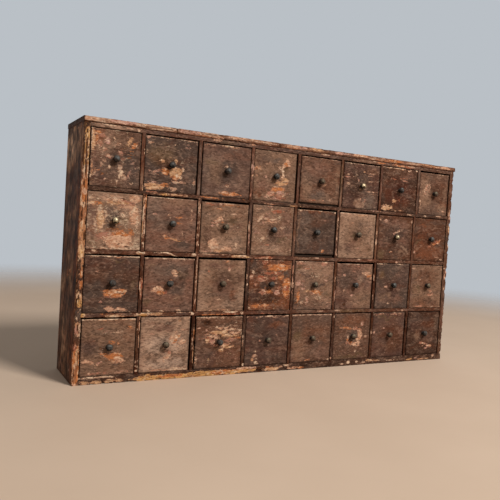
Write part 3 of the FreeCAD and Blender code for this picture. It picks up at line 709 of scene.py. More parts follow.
def divider(row, k):
    """A row's k-th divider from the left; the lower the row, the darker its paint."""
    x, floor_level = divider_middle(row, k), ROW_FLOORS[row]
    foot, head = floor_level - DIVIDER_SUNK, floor_level + ROW_HEIGHTS[row] + DIVIDER_SUNK
    half = DIVIDER_THICK / 2 - FRONT_ROOM
    low = (x - half, FRONT + FRONT_ROOM, foot + END_ROOM)
    high = (x + half, BOARD_BACK - BACK_ROOM, head - END_ROOM)
    number = row * 8 + k
    points, faces = plank(low, high, 2, seed=40 + number, chew=0.5, step=2.6, fine=1.4, coarse=26.0)
    marks = DIVIDER_EDGES[row].split("/")[k - 1]
    film, bare, chip, worn = edge_paint(points, low, high, 2, "russet", marks, seed=60 + number,
                                        worn=0.55, start=foot, arris=0.42)
    film[:, :3] *= DIVIDER_DARKENING[row]
    make(f"divider_{row + 1}_{k}", "carcass", points, faces, PAINTED_UPRIGHT,
         [f"dividers_row_{row + 1}"], (film, bare, chip, worn))


for row in range(4):
    for k in range(1, 8):
        divider(row, k)


# ---- The rail under the top, and the top -------------------------------------------------
# A thin board closes the top row from above, and a thicker one is nailed over it and the
# sides, a little proud of them. Its front edge has been handled down to pale wood.
TOP_THICK, TOP_OVER_FRONT, TOP_OVER_ENDS, TOP_EASE = 13.0, 2.0, (0.8, 2.8), 2.6
TOP_ROOM = 0.5                  # how far its upper face stays inside the frame's solid
TOP_SKIN = 1.5                  # how far in from its faces their paint reaches
TOP_SPAN = (1186, 175)          # the face that stray marks are thrown over
TOP_SWAY, TOP_SWAY_SIZE = 6.0, 26.0     # how far marks' edges wander from front to back
TOP_STRAY, TOP_STRAY_SIZE = 30.0, 34.0  # and along the grain
TOP_END_SHADE = 8.0                  # how far up its ends the near-black painted shade starts
# The rail's dark mark at the top of its edge near the left end is a painted shadow under the top.
CROSS_BOARDS["ceiling_board"] = (602.0, 612.0, "mauve", """chip_dark 40 10 50 4; blush 70 5 120 10;
    cream 130 4 6 6; beige 60 8 70 3; beige 110 6 40 3; plum 215 5 140 8; peach 338 7 26 5;
    olive 370 4 50 7; slate 400 3 50 4; peach 441 8 10 4; plum 520 5 130 8; olive 620 5 50 7;
    beige 676 8 30 5; plum 620 5 200 9; umber 760 5 80 8; tan 840 5 120 8; cream 852 9 12 3;
    orange 880 6 30 4; orange 960 5 60 5; beige 1002 7 34 5; red 990 3 30 4; brown 1090 5 140 8;
    umber 1120 3 110 4""")
# The two dark marks lowest on the top's edge, near its left end, are a painted shadow line.
TOP_EDGE_MARKS = """beige 30 7 80 12; peach 14 7 34 9; umber 58 8 10 4; pink 92 8 70 8; umber 116 5 10 5;
    beige 175 7 110 11; beige 205 10 40 5; chip_dark 226 8 7 13; pink 268 7 80 9; beige 320 7 60 11;
    chip_dark 345 11 18 5; peach 342 3 22 5; beige 420 8 120 9; peach 400 10 60 5; beige 490 7 50 8;
    chip_dark 522 8 10 13; peach 570 8 60 8; pink 596 6 50 7; ochre 640 7 50 8; chip_dark 672 10 22 5;
    pink 735 7 70 7; peach 800 8 64 9; beige 845 7 30 8; beige 880 8 30 5; orange 932 6 80 8;
    beige 1010 7 60 7; salmon 970 4 40 5; ochre 1060 9 50 3; chip_dark 1108 11 40 5; peach 1140 7 60 8;
    chip_dark 14 0.9 70 2.6; chip_dark 62 0.8 70 1.8; chip_dark 120 3 90 1.8; chip_dark 180 6 70 1.6;
    chip_dark 330 8 60 2; chip_dark 380 2 60 2; chip_dark 470 4 110 1.8; chip_dark 610 5 80 1.8;
    chip_dark 690 3 60 2; chip_dark 780 4 110 1.8; chip_dark 860 8 60 1.6; chip_dark 950 3 90 1.8;
    chip_dark 1060 5 70 1.8; chip_dark 1150 3 50 2; tawny 300 3 60 3; tawny 560 4 60 4; tawny 900 4 80 4;
    tawny 1090 6 60 5"""
TOP_BITES = ((226, 8, 2.4, 1), (345, 20, 2.6, 1), (522, 12, 2.4, 1), (672, 22, 2.2, 1), (1110, 44, 2.6, 1),
             (905, 14, 1.4, 1), (60, 10, 1.2, 1), (760, 16, 1.0, 1), (1010, 20, 1.0, 1))
TOP_STAINS = ["tan", "plum", "brown", "grey", "rust", "dusk"]
TOP_SCRATCHES = ["ochre", "tawny", "beige", "salmon", "peach"]
TOP_RUBBED = "ochre 300 4 560 12; beige 900 3 420 9; tawny 1176 60 16 60; beige 4 110 12 70"


def scattered(colours, count, seed, longest, slender):
    """Marks thrown over the top, most of them short and all of them longer along the grain."""
    dice = random.Random(seed)
    marks = []
    for _ in range(count):
        length = longest * dice.random() ** 2 + 6
        marks.append((dice.choice(colours), dice.uniform(0, TOP_SPAN[0]), dice.uniform(0, TOP_SPAN[1]),
                      length, length / slender * dice.uniform(0.5, 1.4), dice.uniform(-8, 8)))
    return marks


def top_board():
    """The top: a worn edge, a stained and scratched upper face, and dark ends, black above as painted shade.
    """
    low = (-HALF_WIDTH - TOP_OVER_ENDS[0], FRONT - TOP_OVER_FRONT + FRONT_ROOM, SIDE_HIGH)
    high = (HALF_WIDTH + TOP_OVER_ENDS[1], BACK - END_ROOM, SIDE_HIGH + TOP_THICK - TOP_ROOM)
    points, faces = plank(low, high, 0, seed=9, chew=0.9, step=3.0, coarse=6.0,
                          bites=from_left(TOP_BITES), ease=TOP_EASE)
    film, bare, chip, worn = edge_paint(points, low, high, 0, "clay", TOP_EDGE_MARKS, seed=9, worn=0.7,
                                        start=-HALF_WIDTH, arris=0.4)
    upper = points[:, 2] > high[2] - TOP_SKIN
    upper &= points[:, 1] > FRONT + EDGE_MARKS_DEPTH - TOP_OVER_FRONT
    u, v = points[upper, 0] + HALF_WIDTH, points[upper, 1] - FRONT
    sway = TOP_SWAY * ripple(points[upper] * (0.3, 1, 1), TOP_SWAY_SIZE, 33)
    stray = TOP_STRAY * ripple(points[upper] * (0.5, 1, 1), TOP_STRAY_SIZE, 34, 4)
    marks = scattered(TOP_STAINS, 30, seed=5, longest=260, slender=4)
    marks += scattered(TOP_SCRATCHES, 90, seed=6, longest=70, slender=6)
    marks += listed(TOP_RUBBED)
    film[upper], bare[upper], chip[upper] = lay_marks(u + stray, v + sway, "umber", marks, soft=12.0)
    worn[upper] = 0.55
    ends = (points[:, 0] < low[0] + TOP_SKIN) | (points[:, 0] > high[0] - TOP_SKIN)
    film[ends], chip[ends] = tone(*FILM["plum"]), 0.0
    # Higher up, the ends are painted near-black as shade.
    film[ends & (points[:, 2] > SIDE_HIGH + TOP_END_SHADE)] = tone(*FILM["pitch"])
    make("top_board", "carcass", points, faces, PAINTED_ACROSS, ["top_board"],
         (film, bare, chip, worn))


cross_board("ceiling_board", seed=8)
top_board()


# ---- The back ----------------------------------------------------------------------------
# Four pine boards, half lapped and nailed into the rebates of the sides and the edges of the
# shelves. Like the drawer boxes they were never painted: the pine has gone brown with age, its
# growth lines stand a little proud and dust darkens it in clouds.
BACK_THICK, BACK_LAP, BACK_JOINT, BACK_END = 9.0, 8.0, 1.0, 8.0
BACK_BOARDS = 4
BACK_COVER = (SIDE_HIGH - (BACK_BOARDS - 1) * BACK_JOINT) / BACK_BOARDS
PINE_PALE, PINE_DARK, PINE_DIRT = (180, 146, 111), (136, 101, 71), (74, 57, 45)
PINE_FIBRE, PINE_BAND, PINE_STAIN, PINE_OLD = (104, 74, 50), (112, 92, 74), (96, 72, 54), (98, 76, 60)
# Knot rims and hearts, and the near-black used as painted shade in the gaps.
KNOT_RIM, KNOT_HEART, GAP_SHADE_TONE = (66, 40, 26), (112, 70, 44), (38, 25, 19)


def aged_pine():
    """Flat-sawn pine whose grain runs along the group's own X. Board shifts the grain and the
    tone from one board to the next, Grime darkens it in soft clouds and the last input blackens it as painted
    shade."""
    group, take, give = shader_group(
        "aged_pine", {"At": "Vector", "Board": "Float", "Grime": "Float", "Shaded": "Float"},
        {"Color": "Color", "Roughness": "Float", "Height": "Float"})
    away = put(group, "CombineXYZ", {axis: times(group, take["Board"], shift)
                                     for axis, shift in (("X", 0.37), ("Y", 0.23), ("Z", 0.41))})
    at = put(group, "VectorMath", {0: take["At"], 1: away}, operation="ADD")

    # Growth lines, fibres and faint grey bands.
    slow = stretch(group, at, (1.6, 9.0, 9.0))
    bend = cloud(group, slow, 1.0, 3.0).node.outputs["Color"]
    long = stretch(group, at, (0.05, 1.0, 1.0))
    swung = put(group, "VectorMath", {0: bend, 1: (0.11, 0.11, 0.11), 2: long}, operation="MULTIPLY_ADD")
    rings = put(group, "TexWave", {"Vector": swung, "Scale": 52.0, "Distortion": 1.6, "Detail": 3.0,
                                   "Detail Scale": 2.4}, wave_type="RINGS", rings_direction="X",
                wave_profile="SAW")
    late = ease_in(group, rings, 0.4, 1.0)
    fine = stretch(group, at, (0.04, 1.0, 1.0))
    fibre = cloud(group, fine, 700.0, 5.0, 0.7)
    wood = mix(group, late, tone(*PINE_PALE), tone(*PINE_DARK), 0.5)
    wood = mix(group, ease_in(group, fibre, 0.4, 0.62), wood, tone(*PINE_FIBRE), 0.5)
    band = ease_in(group, cloud(group, fine, 90.0, 4.0), 0.46, 0.64)
    wood = mix(group, band, wood, tone(*PINE_BAND), 0.35)

    # Knots, in the cells whose chance colour is pale enough.
    where = put(group, "SeparateXYZ", {"Vector": at}).node.outputs
    spot = put(group, "CombineXYZ", {"X": where["X"], "Y": plus(group, where["Y"], where["Z"])})
    cell = put(group, "TexVoronoi", {"Vector": spot, "Scale": 4.0}, voronoi_dimensions="2D").node.outputs
    size = times(group, less(group, put(group, "RGBToBW", {"Color": cell["Color"]}), 0.45), 0.11)
    knot = less(group, size, plus(group, cell["Distance"], times(group, fibre, 0.012)))
    wood = mix(group, ease_in(group, knot, -0.012, 0.004), wood, tone(*KNOT_RIM), 0.8)
    wood = mix(group, ease_in(group, knot, 0.008, 0.02), wood, tone(*KNOT_HEART), 0.6)

    # Dirt, stains, each board's own age and the painted shade of the gaps.
    dirt_and_shade = times(group, ease_in(group, cloud(group, slow, 3.4, 7.0, 0.68), 0.4, 0.72), take["Grime"])
    wood = mix(group, dirt_and_shade, wood, tone(*PINE_DIRT))
    stain = ease_in(group, cloud(group, at, 5.0, 6.0, 0.62), 0.5, 0.66)
    wood = mix(group, stain, wood, tone(*PINE_STAIN), 0.4)
    age = put(group, "Math", {0: times(group, take["Board"], 0.618)}, operation="FRACT")
    wood = mix(group, age, wood, tone(*PINE_OLD), 0.4)
    group.links.new(mix(group, take["Shaded"], wood, tone(*GAP_SHADE_TONE)), give["Color"])
    group.links.new(plus(group, 0.66, times(group, dirt_and_shade, 0.2)), give["Roughness"])
    group.links.new(plus(group, times(group, late, 0.5), times(group, fibre, 0.6)), give["Height"])
    return group


def pine(name, turn, grime_and_shade):
    """A bare pine material; turn swings its grain from X to where the board's runs."""
    material, tree, surface = new_material(name)
    at = put(tree, "Mapping", {"Vector": put(tree, "TexCoord", take="Object"), "Rotation": turn})
    wood = put(tree, "Group", {"At": at, "Board": field(tree, "board"), "Grime": grime_and_shade,
                               "Shaded": field(tree, "shaded")}, node_tree=AGED_PINE).node.outputs
    tree.links.new(skin(tree, wood["Color"], wood["Roughness"], wood["Height"], strength=0.5,
                        deep=0.0005, Specular_IOR_Level=0.12), surface)
    return material


def pine_board(name, body, points, faces, material, nodes, board, smooth=True, shaded=0.0):
    """A piece of bare pine; board is a number of its own, so no two have the same grain, and
    the last argument is how black each point is painted as shade in a gap."""
    piece = make(name, body, points, faces, material, nodes, smooth=smooth)
    for label, values in (("board", board), ("shaded", shaded)):
        lay_field(piece, label, np.zeros(len(points)) + values)


def back_board(number):
    """A board of the back, counted from the foot: its inner half and its lapped outer half, each
    a plank with its worn edge turned to the rear."""
    foot = (BACK_COVER + BACK_JOINT) * (number - 1)
    head = foot + BACK_COVER
    middle = BACK - BACK_THICK / 2
    reach = INNER_HALF + BACK_END - BACK_ROOM
    lap_foot = foot - (BACK_LAP if number > 1 else 0)
    lap_head = head - (BACK_LAP if number < BACK_BOARDS else 0)
    points, faces = [], []
    for near, far, low_z, high_z in ((BACK - BACK_THICK, middle + 0.2, foot, head),
                                     (middle, BACK - BACK_ROOM, lap_foot, lap_head)):
        more, more_faces = plank((-reach, near, low_z + END_ROOM), (reach, far, high_z - END_ROOM), 0,
                                 seed=80 + number, chew=0.3, step=12.0, fine=3.0, coarse=9.0)
        more[:, 1] = near + far - more[:, 1]
        faces += [tuple(k + len(points) for k in face) for face in more_faces]
        points += more.tolist()
    pine_board(f"back_{number}", "carcass", points, faces, PINE_BACK,
               [f"back_board_{number}"], number * 7)


AGED_PINE = aged_pine()
PINE_BACK = pine("aged_pine_back", turn=(0.0, 0.0, 0.0), grime_and_shade=0.85)
for number in range(1, BACK_BOARDS + 1):
    back_board(number)


# ---- Cut nails ---------------------------------------------------------------------------
# Iron nails hold the carcass: through the sides into the shelves, down through the top, and
# through the back boards. Their rough square heads have rusted nearly black.
NAIL_HEAD, NAIL_PROUD, NAIL_FOOT = 4.2, 0.35, -0.6
NAIL_CORNERS = 8
IRON_DARK, IRON_RUST = (52, 44, 40), (84, 54, 38)
BOARD_LEVELS = (9.5, 164.0, 314.0, 461.0)       # the middles of the bottom and the shelves
BACK_EDGE_LEVELS = (36.0, 110.0, 190.0, 262.0, 340.0, 420.0, 495.0, 570.0)
SIDE_NAILS = (-66.0, -12.0, 44.0)
TOP_NAILS = (((-585.0, 585.0), (-60.0, 5.0, 62.0)), ((-390.0, -148.0, 142.0, 402.0), (-72.0, 58.0)))
BACK_NAILS, BACK_EDGE_NAILS = (-430.0, -210.0, 5.0, 215.0, 425.0), (-578.0, 578.0)
SIDE_SUNK, TOP_SUNK, BACK_SUNK = 0.5, 0.9, 0.75     # how far in from a board's full size a head sits


def rusted_iron():
    """Scaly iron, brown where it has rusted through."""
    material, tree, surface = new_material("rusted_iron")
    scale = cloud(tree, put(tree, "TexCoord", take="Object"), 620.0, 5.0, 0.6)
    rust = ease_in(tree, scale, 0.42, 0.62)
    colour = mix(tree, rust, tone(*IRON_DARK), tone(*IRON_RUST))
    dull = plus(tree, 0.38, times(tree, rust, 0.35))
    metal = times(tree, less(tree, 1.0, rust), 0.7)
    tree.links.new(skin(tree, colour, dull, scale, strength=0.4, deep=0.0003, Metallic=metal), surface)
    return material


def nail_heads(name, body, places, size=NAIL_HEAD, proud=NAIL_PROUD, seed=2):
    """Rough square nail heads, each at a place and facing along its axis, sign * 1, 2 or 3."""
    dice = random.Random(seed)
    rings = ((1.0, NAIL_FOOT), (1.0, proud * 0.5), (0.72, proud), (0.3, proud))     # how wide, how far out
    points, faces = [], []
    for place, facing in places:
        axis, sign = abs(facing) - 1, math.copysign(1, facing)
        a, b = [k for k in range(3) if k != axis]
        turn = dice.uniform(0, math.pi / 2)
        faces += loft(len(rings), NAIL_CORNERS, len(points))
        for share, lift in rings:
            for k in range(NAIL_CORNERS):
                angle = turn + k * math.pi / 4
                radius = size / 2 * share * (1.0 if k % 2 else 0.84) * dice.uniform(0.9, 1.05)
                point = list(place)
                point[a] += radius * math.cos(angle)
                point[b] += radius * math.sin(angle)
                point[axis] += sign * lift
                points.append(point)
    return make(name, body, points, faces, IRON, [])


IRON = rusted_iron()
heads = [((sign * (HALF_WIDTH - SIDE_SUNK), y + 5 * sign, level + sign), sign) for sign in (-1, 1)
         for level in (*BOARD_LEVELS, 607.0) for y in SIDE_NAILS]
nail_heads("nails_sides", "carcass", heads)
over = SIDE_HIGH + TOP_THICK - TOP_SUNK
heads = [((x, y, over), 3) for xs, ys in TOP_NAILS for x in xs for y in ys]
nail_heads("nails_top", "carcass", heads, seed=3)
behind = BACK - BACK_SUNK
heads = [((x + 3 * math.sin(level), behind, level), 2) for level in (*BOARD_LEVELS, 606.0)
         for x in BACK_NAILS]
heads += [((x, behind, level + x / 200), 2) for level in BACK_EDGE_LEVELS for x in BACK_EDGE_NAILS]
nail_heads("nails_back", "carcass", heads, seed=4)


# ---- The drawer fronts -------------------------------------------------------------------
# Each front is a 12 mm pine board, planed to its own cell, rebated at both ends and the foot
# over its box, and painted on the face only. Years of hands have worn each face its own way.
FACE, FRONT_THICK, FRONT_LAP = -86.0, 12.0, 5.0
DRAWER_SIDE, DRAWER_BOTTOM = 7.0, 5.0
LAP_OVERLAP, CORE_DROP = 0.3, 0.6       # how the thicker middle meets the lap, and clears the head
DRAWER_ROOM = 0.1               # kept inside the frame's solid on every side
FACE_SUNK = 0.45                # the face's mean depth, so that its waves stay inside too
LIP_DEPTH = 2.6                 # how far back the face's paint runs over the edges
FACE_GRID = 2.1                 # how far apart a face's points stand
ARRIS_PLACES = (0.0, 0.35, 0.8, 1.4, 2.3, 3.6)      # grid places in from each edge
FRONT_EASES = (1.5, 1.5, 2.3)   # how far the arrises are rounded: the sides', the foot's, the head's
FACE_WAVES = ((0.22, 55.0, 0, 2), (0.10, 9.0, 50, 4))       # height, size, seed's shift, octaves
FACE_LEAN = (0.5, 0.6)          # the most a face leans from side to side and from foot to head
NIBBLE_SIZE, NIBBLE_DEPTH, NIBBLE_REACH = 7.0, 1.6, 1.8
MARK_SWAYS = ((2.6, 13.0, 7), (2.2, 12.0, 17))  # how far, over what size, seed's shift: in x, in z
PATCH_DRIFT, PATCH_DRIFT_SIZE = 11.0, 24.0      # and how much further patches of paint wander
FACE_RUB_SIZE = 20.0            # how large the rubbed places along the arrises are
KNOB_HEIGHTS = (67.0, 70.0, 72.0, 69.0)
KNOB_SHADE, KNOB_SHADE_WIDE, KNOB_SHADE_OFF = 0.42, 17.0, (3.0, 4.0)     # hands' dirt and a painted knob shadow, set to its lower left
RAISED_FEET = {(1, 5): 5.0, (2, 5): 8.0}    # fronts whose foot was cut away above the shelf
BOX_FACES = ((0, 1, 3, 2), (4, 5, 7, 6), (0, 1, 5, 4), (2, 3, 7, 6), (0, 2, 6, 4), (1, 3, 7, 5))
FACES = {                       # (row, column): ground, how flecked it is, and its marks
    (1, 1): ("brown", 0.7, """rose 12 70 28 130; blush 30 104 44 56; dusk 96 60 34 90; tan 40 115 70 40;
    rust 18 108 22 50; slate 102 50 36 100; ochre 5 106 9 52; salmon 26 118 14 9; pink 38 108 12 14;
    salmon 22 98 12 12; pink 46 122 10 6; salmon 34 88 10 8; orange 14 112 8 20; ochre 91 110 22 9 62;
    orange 103 100 9 20 -30; cream 18 92 3 16 10; cream 28 84 3 14 -8; beige 32 60 8 7;
    cream 45 49 7 12 20; beige 25 52 5 9; salmon 42 72 13 10; salmon 70 82 14 9; beige 70 46 12 14;
    cream 74 34 12 16 20; beige 80 26 14 12 -30; cream 68 26 5 14; cream 66 14 3 12 10;
    cream 75 20 3 14 -12; ochre 4 40 4 44; pink 92 30 4 18 -25; beige 12 30 4 12; pink 36 18 5 5;
    cream 100 12 6 4; orange 14 38 12 5; beige 60 100 16 4 30; plum 20 20 40 36; orange 15 124 16 10;
    beige 54 118 4 12"""),
    (1, 2): ("slate", 0.6, """dusk 60 72 60 30; olive 40 90 70 50; grey 80 44 70 14;
    cream 70 132.5 116 2.5; pink 7 128 7 7; beige 12 115 8 9 40; cream 75 118 7 6; pink 108 114 12 4;
    cream 3 94 4 9; ochre 80 76 9 12; ochre 44 74 10 5; orange 54 50 22 15 -25; ochre 82 48 36 32;
    orange 78 36 22 10; cream 99 58 5 10; pink 15 48 12 6 -20; pink 30 50 15 6 25; beige 85 26 34 5;
    ochre 28 11 58 16; orange 52 17 24 12; beige 75 9 22 8; pink 30 22 36 4; beige 130 30 6 14;
    cream 84 42 8 8; chip_dark 62 44 6 5; salmon 24 40 9 3; cream 96 38 4 10"""),
    (1, 3): ("mauve", 0.15, """slate 66 70 70 70; grey 26 66 44 60; tan 34 64 44 56; olive 20 86 30 16;
    slate 88 92 14 58; grey 85 124 32 5; ochre 74 131.5 36 5; salmon 68 83 7 5; beige 68 77 8 4;
    orange 72 9 52 12; orange 96 9 30 4; peach 66 11 22 6; salmon 70 30 8 4; rose 60 100 60 20;
    beige 22 128 26 3"""),
    (1, 4): ("tan", 0.6, """grey 70 110 24 10; orange 10 84 26 7; pink 35 65 6 6; beige 10 65 6 5;
    peach 104 107 15 24 30; orange 97 101 13 14 35; peach 92 96 12 9 40; beige 84 88 10 8;
    beige 78 93 8 6; cream 91 76 7 20 15; ochre 98 58 22 15; ochre 84 50 44 10; orange 76 33 44 14;
    salmon 56 22 26 14; pink 84 24 26 12; salmon 86 16 28 14; red 76 10 30 5; pink 70 8 30 5;
    rust 15 18 20 14; peach 88 66 16 6 40; cream 66 40 14 4; olive 100 90 26 16; pink 44 14 12 5;
    beige 40 100 8 4; rose 30 40 40 30; brown 24 110 40 30"""),
    (1, 5): ("warm", 0.15, """fawn 18 50 34 80; fawn 70 16 100 30; rose 60 100 90 40; tan 128 70 13 100;
    cream 25 133 20 3; cream 107 133 16 4; beige 60 134 60 2; ochre 82 57 16 5 35; beige 105 18 8 7;
    red 55 13 30 3; grey 60 30 60 24; salmon 18 132 8 5"""),
    (1, 6): ("plum", 0.55, """slate 66 80 70 70; grey 94 26 60 60; dusk 40 60 40 70; pink 8 90 13 4;
    cream 14 97 8 5; beige 35 92 5 4; pink 53 84 6 8; beige 98 105 22 4; beige 96 97 22 3;
    beige 100 82 20 4; beige 100 90 12 3; warm 110 112 40 22; pink 65 28 6 5; pink 82 27 5 5;
    rose 65 12 20 18; grey 88 14 12 12; olive 105 12 16 16; beige 30 110 14 3; beige 108 53 24 2.6;
    beige 112 46 20 2.6; beige 18 70 12 4; ochre 76 108 8 4; cream 60 132 40 2; orange 74 66 8 4;
    blush 60 14 14 34; blush 78 12 12 26; grey 104 14 14 30; fawn 48 16 12 24"""),
    (1, 7): ("dusk", 0.3, """umber 66 118 120 34; russet 20 70 40 60; oxblood 70 60 100 80;
    ochre 40 132 44 3; ochre 85 131.5 20 3; pink 105 130 12 5; beige 134 130 8 7; brown 45 123 30 7;
    grey 52 114 20 9; rose 100 112 44 20; red 46 98 16 3; salmon 90 97 26 3; red 80 104 30 2.4;
    ochre 50 33 15 11; red 70 35 8 6; ochre 22 11 48 17; ochre 60 5 60 3; peach 12 14 20 6;
    russet 100 30 30 12"""),
    (1, 8): ("brown", 0.3, """fawn 24 70 44 120; umber 104 70 34 110; beige 7 34 3 52; tan 26 60 24 44;
    beige 42 95 7 13; beige 22 76 8 6; tan 32 40 14 24; rose 107 110 10 22; tan 105 15 30 16;
    rust 100 30 40 18; umber 70 70 60 50; beige 88 132 36 2; fawn 34 84 14 50; fawn 20 66 14 60;
    tan 46 50 20 60; fawn 96 22 30 34; beige 5 70 3 30; blush 34 78 22 44; pink 34 92 6 14;
    pink 26 64 6 12; salmon 29 82 9 16; beige 22 70 5 22; salmon 41 74 5 18; beige 46 88 4 10;
    tan 112 70 12 60; salmon 108 14 20 5; salmon 84 16 10 5"""),
    (2, 1): ("fawn", 0.9, """blush 112 100 40 70; blush 70 124 120 24; slate 60 80 44 34;
    mauve 8 70 16 120; dusk 62 58 26 24; tan 90 118 80 30; peach 60 119 46 9; peach 112 122 28 22;
    salmon 92 112 40 12; peach 96 104 26 8; slate 75 121 20 4; orange 25 108 12 6; ochre 70 112 54 6;
    peach 112 84 24 44; cream 120 70 5 30; cream 108 94 6 26 -20; grey 55 90 32 22; olive 90 70 32 13;
    rose 12 74 22 60; rust 12 50 14 16; ochre 32 72 17 44; cream 30 94 10 12; salmon 45 33 34 15;
    orange 82 29 48 36; peach 74 20 62 32; peach 100 26 16 20; orange 105 41 10 12; slate 85 38 20 5;
    grey 116 14 28 26; olive 12 15 18 20; cream 60 4 110 4; beige 60 124 60 8; chip_dark 85 121 10 3;
    cream 44 84 6 16; cream 84 84 12 9 -30; ochre 10 108 20 5; chip_dark 78 14 5 4; chip_dark 96 8 8 5;
    chip_dark 44 10 5 3; cream 12 120 14 3; beige 20 60 6 20"""),
    (2, 2): ("rose", 0.25, """fawn 60 118 120 34; grey 30 90 50 80; rose 70 100 90 40; slate 100 16 60 20;
    pink 22 92 9 5; orange 83 87 15 5; cream 60 85 6 5; beige 60 90 8 3; orange 92 72 14 3;
    cream 96 47 5 8; orange 52 36 22 9 -12; ochre 76 31 22 6 -14; gold 90 27 18 4; pink 108 26 9 5;
    beige 44 38 10 3; tan 4 90 7 60; beige 118 94 3 30; beige 60 134 50 2; grey 54 66 40 30"""),
    (2, 3): ("tan", 0.6, """fawn 60 50 130 100; fawn 76 100 110 50; blush 40 20 70 36; blush 100 30 50 40;
    rose 60 134 110 6; pink 52 128 8 6; orange 76 128 30 6; red 30 126 28 4; orange 52 115 18 5;
    salmon 48 86 36 12 32; peach 54 92 22 12; pink 33 73 10 8; beige 45 73 8 12; rose 105 70 30 20;
    peach 36 24 28 30; beige 42 15 22 14; peach 76 13 38 14; cream 103 25 6 14; cream 100 14 8 4;
    pink 35 6 30 4; beige 20 100 12 3; cream 64 96 4 8; orange 62 80 8 5; tan 24 50 30 30;
    olive 88 90 30 22; beige 90 104 18 3; ochre 52 8 30 6; brown 20 40 26 50"""),
    # In the next front's marks, the dusk one just below and right of the knob is a painted shadow of the
    # knob.
    (2, 4): ("tan", 0.7, """fawn 40 70 70 120; blush 70 16 100 28; plum 56 70 26 50; dusk 76 60 26 34;
    rose 110 90 44 70; pink 52 133 16 8; cream 60 125 6 6; red 78 120 34 10; salmon 66 116 12 5;
    beige 28 104 22 7 30; umber 52 72 20 36; beige 62 97 46 6 -4; pink 46 101 16 3; pink 34 88 20 4 10;
    beige 20 92 14 4 20; cream 25 97 12 6; cream 30 104 16 3 50; peach 55 90 30 5; beige 75 92 14 8;
    cream 83 107 5 5; fawn 10 70 18 110; grey 55 72 20 28; cream 37 47 10 8; cream 26 46 12 3;
    umber 65 45 20 10; tan 110 20 40 30; pink 44 112 10 4; beige 66 102 14 4; rose 100 60 40 50;
    pink 20 60 8 5; olive 90 40 30 20; salmon 50 28 14 5; beige 92 76 8 5; beige 14 124 18 3"""),
    (2, 5): ("slate", 0.15, """moss 66 80 90 80; rust 66 126 120 12; cream 8 130 7 5; cream 75 132 24 2;
    cream 130 130 5 6; pink 95 104 9 5; tan 4 70 8 110; orange 92 18 8 9; slate 70 60 90 70;
    grey 30 100 40 30; beige 40 132 30 2; grey 30 50 30 40"""),
    (2, 6): ("blush", 0.3, """blush 66 34 120 60; blush 104 100 50 56; tan 66 66 110 110;
    pink 20 130 36 3; ochre 75 128 30 4; fawn 8 112 12 34; olive 55 68 12 12; fawn 127 70 10 120;
    brown 10 35 14 14; fawn 110 20 40 30; olive 118 28 14 12; pink 74 30 8 4; beige 100 96 14 3;
    rose 40 40 40 30; beige 48 104 9 3"""),
    (2, 7): ("umber", 0.25, """slate 66 60 120 100; dusk 60 44 70 44; rose 60 110 110 20;
    pink 28 118 12 8; beige 5 120 8 6; beige 133 120 6 10; beige 78 88 30 5 14; pink 62 80 8 5;
    rose 15 50 20 8; rose 35 47 20 10; grey 85 44 12 10; blush 112 34 34 7 -34; blush 124 22 22 6 -50;
    beige 86 10 5 10; red 55 25 16 6; fawn 100 20 30 9 -20; olive 15 20 20 30; rose 100 60 40 30;
    rose 108 84 16 14; beige 12 80 10 4; rose 50 112 20 8; rose 96 104 30 16"""),
    (2, 8): ("umber", 0.2, """russet 60 80 120 60; rust 60 30 110 50; rust 20 72 40 14; olive 20 62 24 7;
    rose 95 90 34 8; rose 66 88 14 8; red 97 60 40 10 18; orange 104 62 18 3 18; red 68 47 20 7;
    grey 110 48 24 5; pink 5 28 7 9; beige 105 12 14 4; cream 122 6 6 4; orange 84 55 16 6;
    rose 40 100 20 6; rust 30 110 40 10"""),
    (3, 1): ("slate", 0.4, """plum 60 100 130 60; dusk 100 60 50 60; umber 60 90 120 40;
    orange 70 134 110 2; olive 80 125 32 5; orange 72 47 52 22; orange 92 50 22 12; red 60 37 24 5;
    orange 50 54 16 5; ochre 101 52 14 5; pink 43 27 8 5; peach 64 10 22 12; peach 92 8 36 7;
    cream 100 4 24 3; olive 118 65 10 20; rust 129 55 6 50; peach 84 50 16 6; salmon 30 100 10 4;
    slate 30 40 40 40; beige 20 60 6 3"""),
    (3, 2): ("rose", 0.4, """grey 60 100 100 44; beige 66 134 120 2; cream 65 130 5 5; cream 105 131 5 5;
    tan 15 115 22 13; peach 80 98 18 15; olive 91 98 8 12; peach 38 56 30 16; orange 48 48 26 12;
    peach 26 52 26 6; red 58 50 9 10; orange 70 78 7 5; olive 12 25 14 14; tan 90 35 20 10;
    cream 15 3 8 5; cream 50 3 9 4; cream 95 3 10 5; peach 36 60 12 8; beige 76 105 8 4;
    moss 100 90 20 24; slate 90 60 40 30"""),
    (3, 3): ("tan", 0.35, """blush 14 66 38 130; blush 128 60 30 120; blush 60 12 120 28;
    dusk 74 84 56 56; rose 70 60 66 56; rose 60 120 100 20; cream 45 131 14 3; orange 80 129 16 4;
    cream 125 130 9 4; pink 88 110 9 9; cream 85 81 5 5; brown 120 82 20 46; beige 137 70 3 110;
    ochre 60 2 100 2.5; fawn 20 60 30 60; salmon 28 104 8 4; beige 60 30 12 3; rust 100 40 20 20"""),
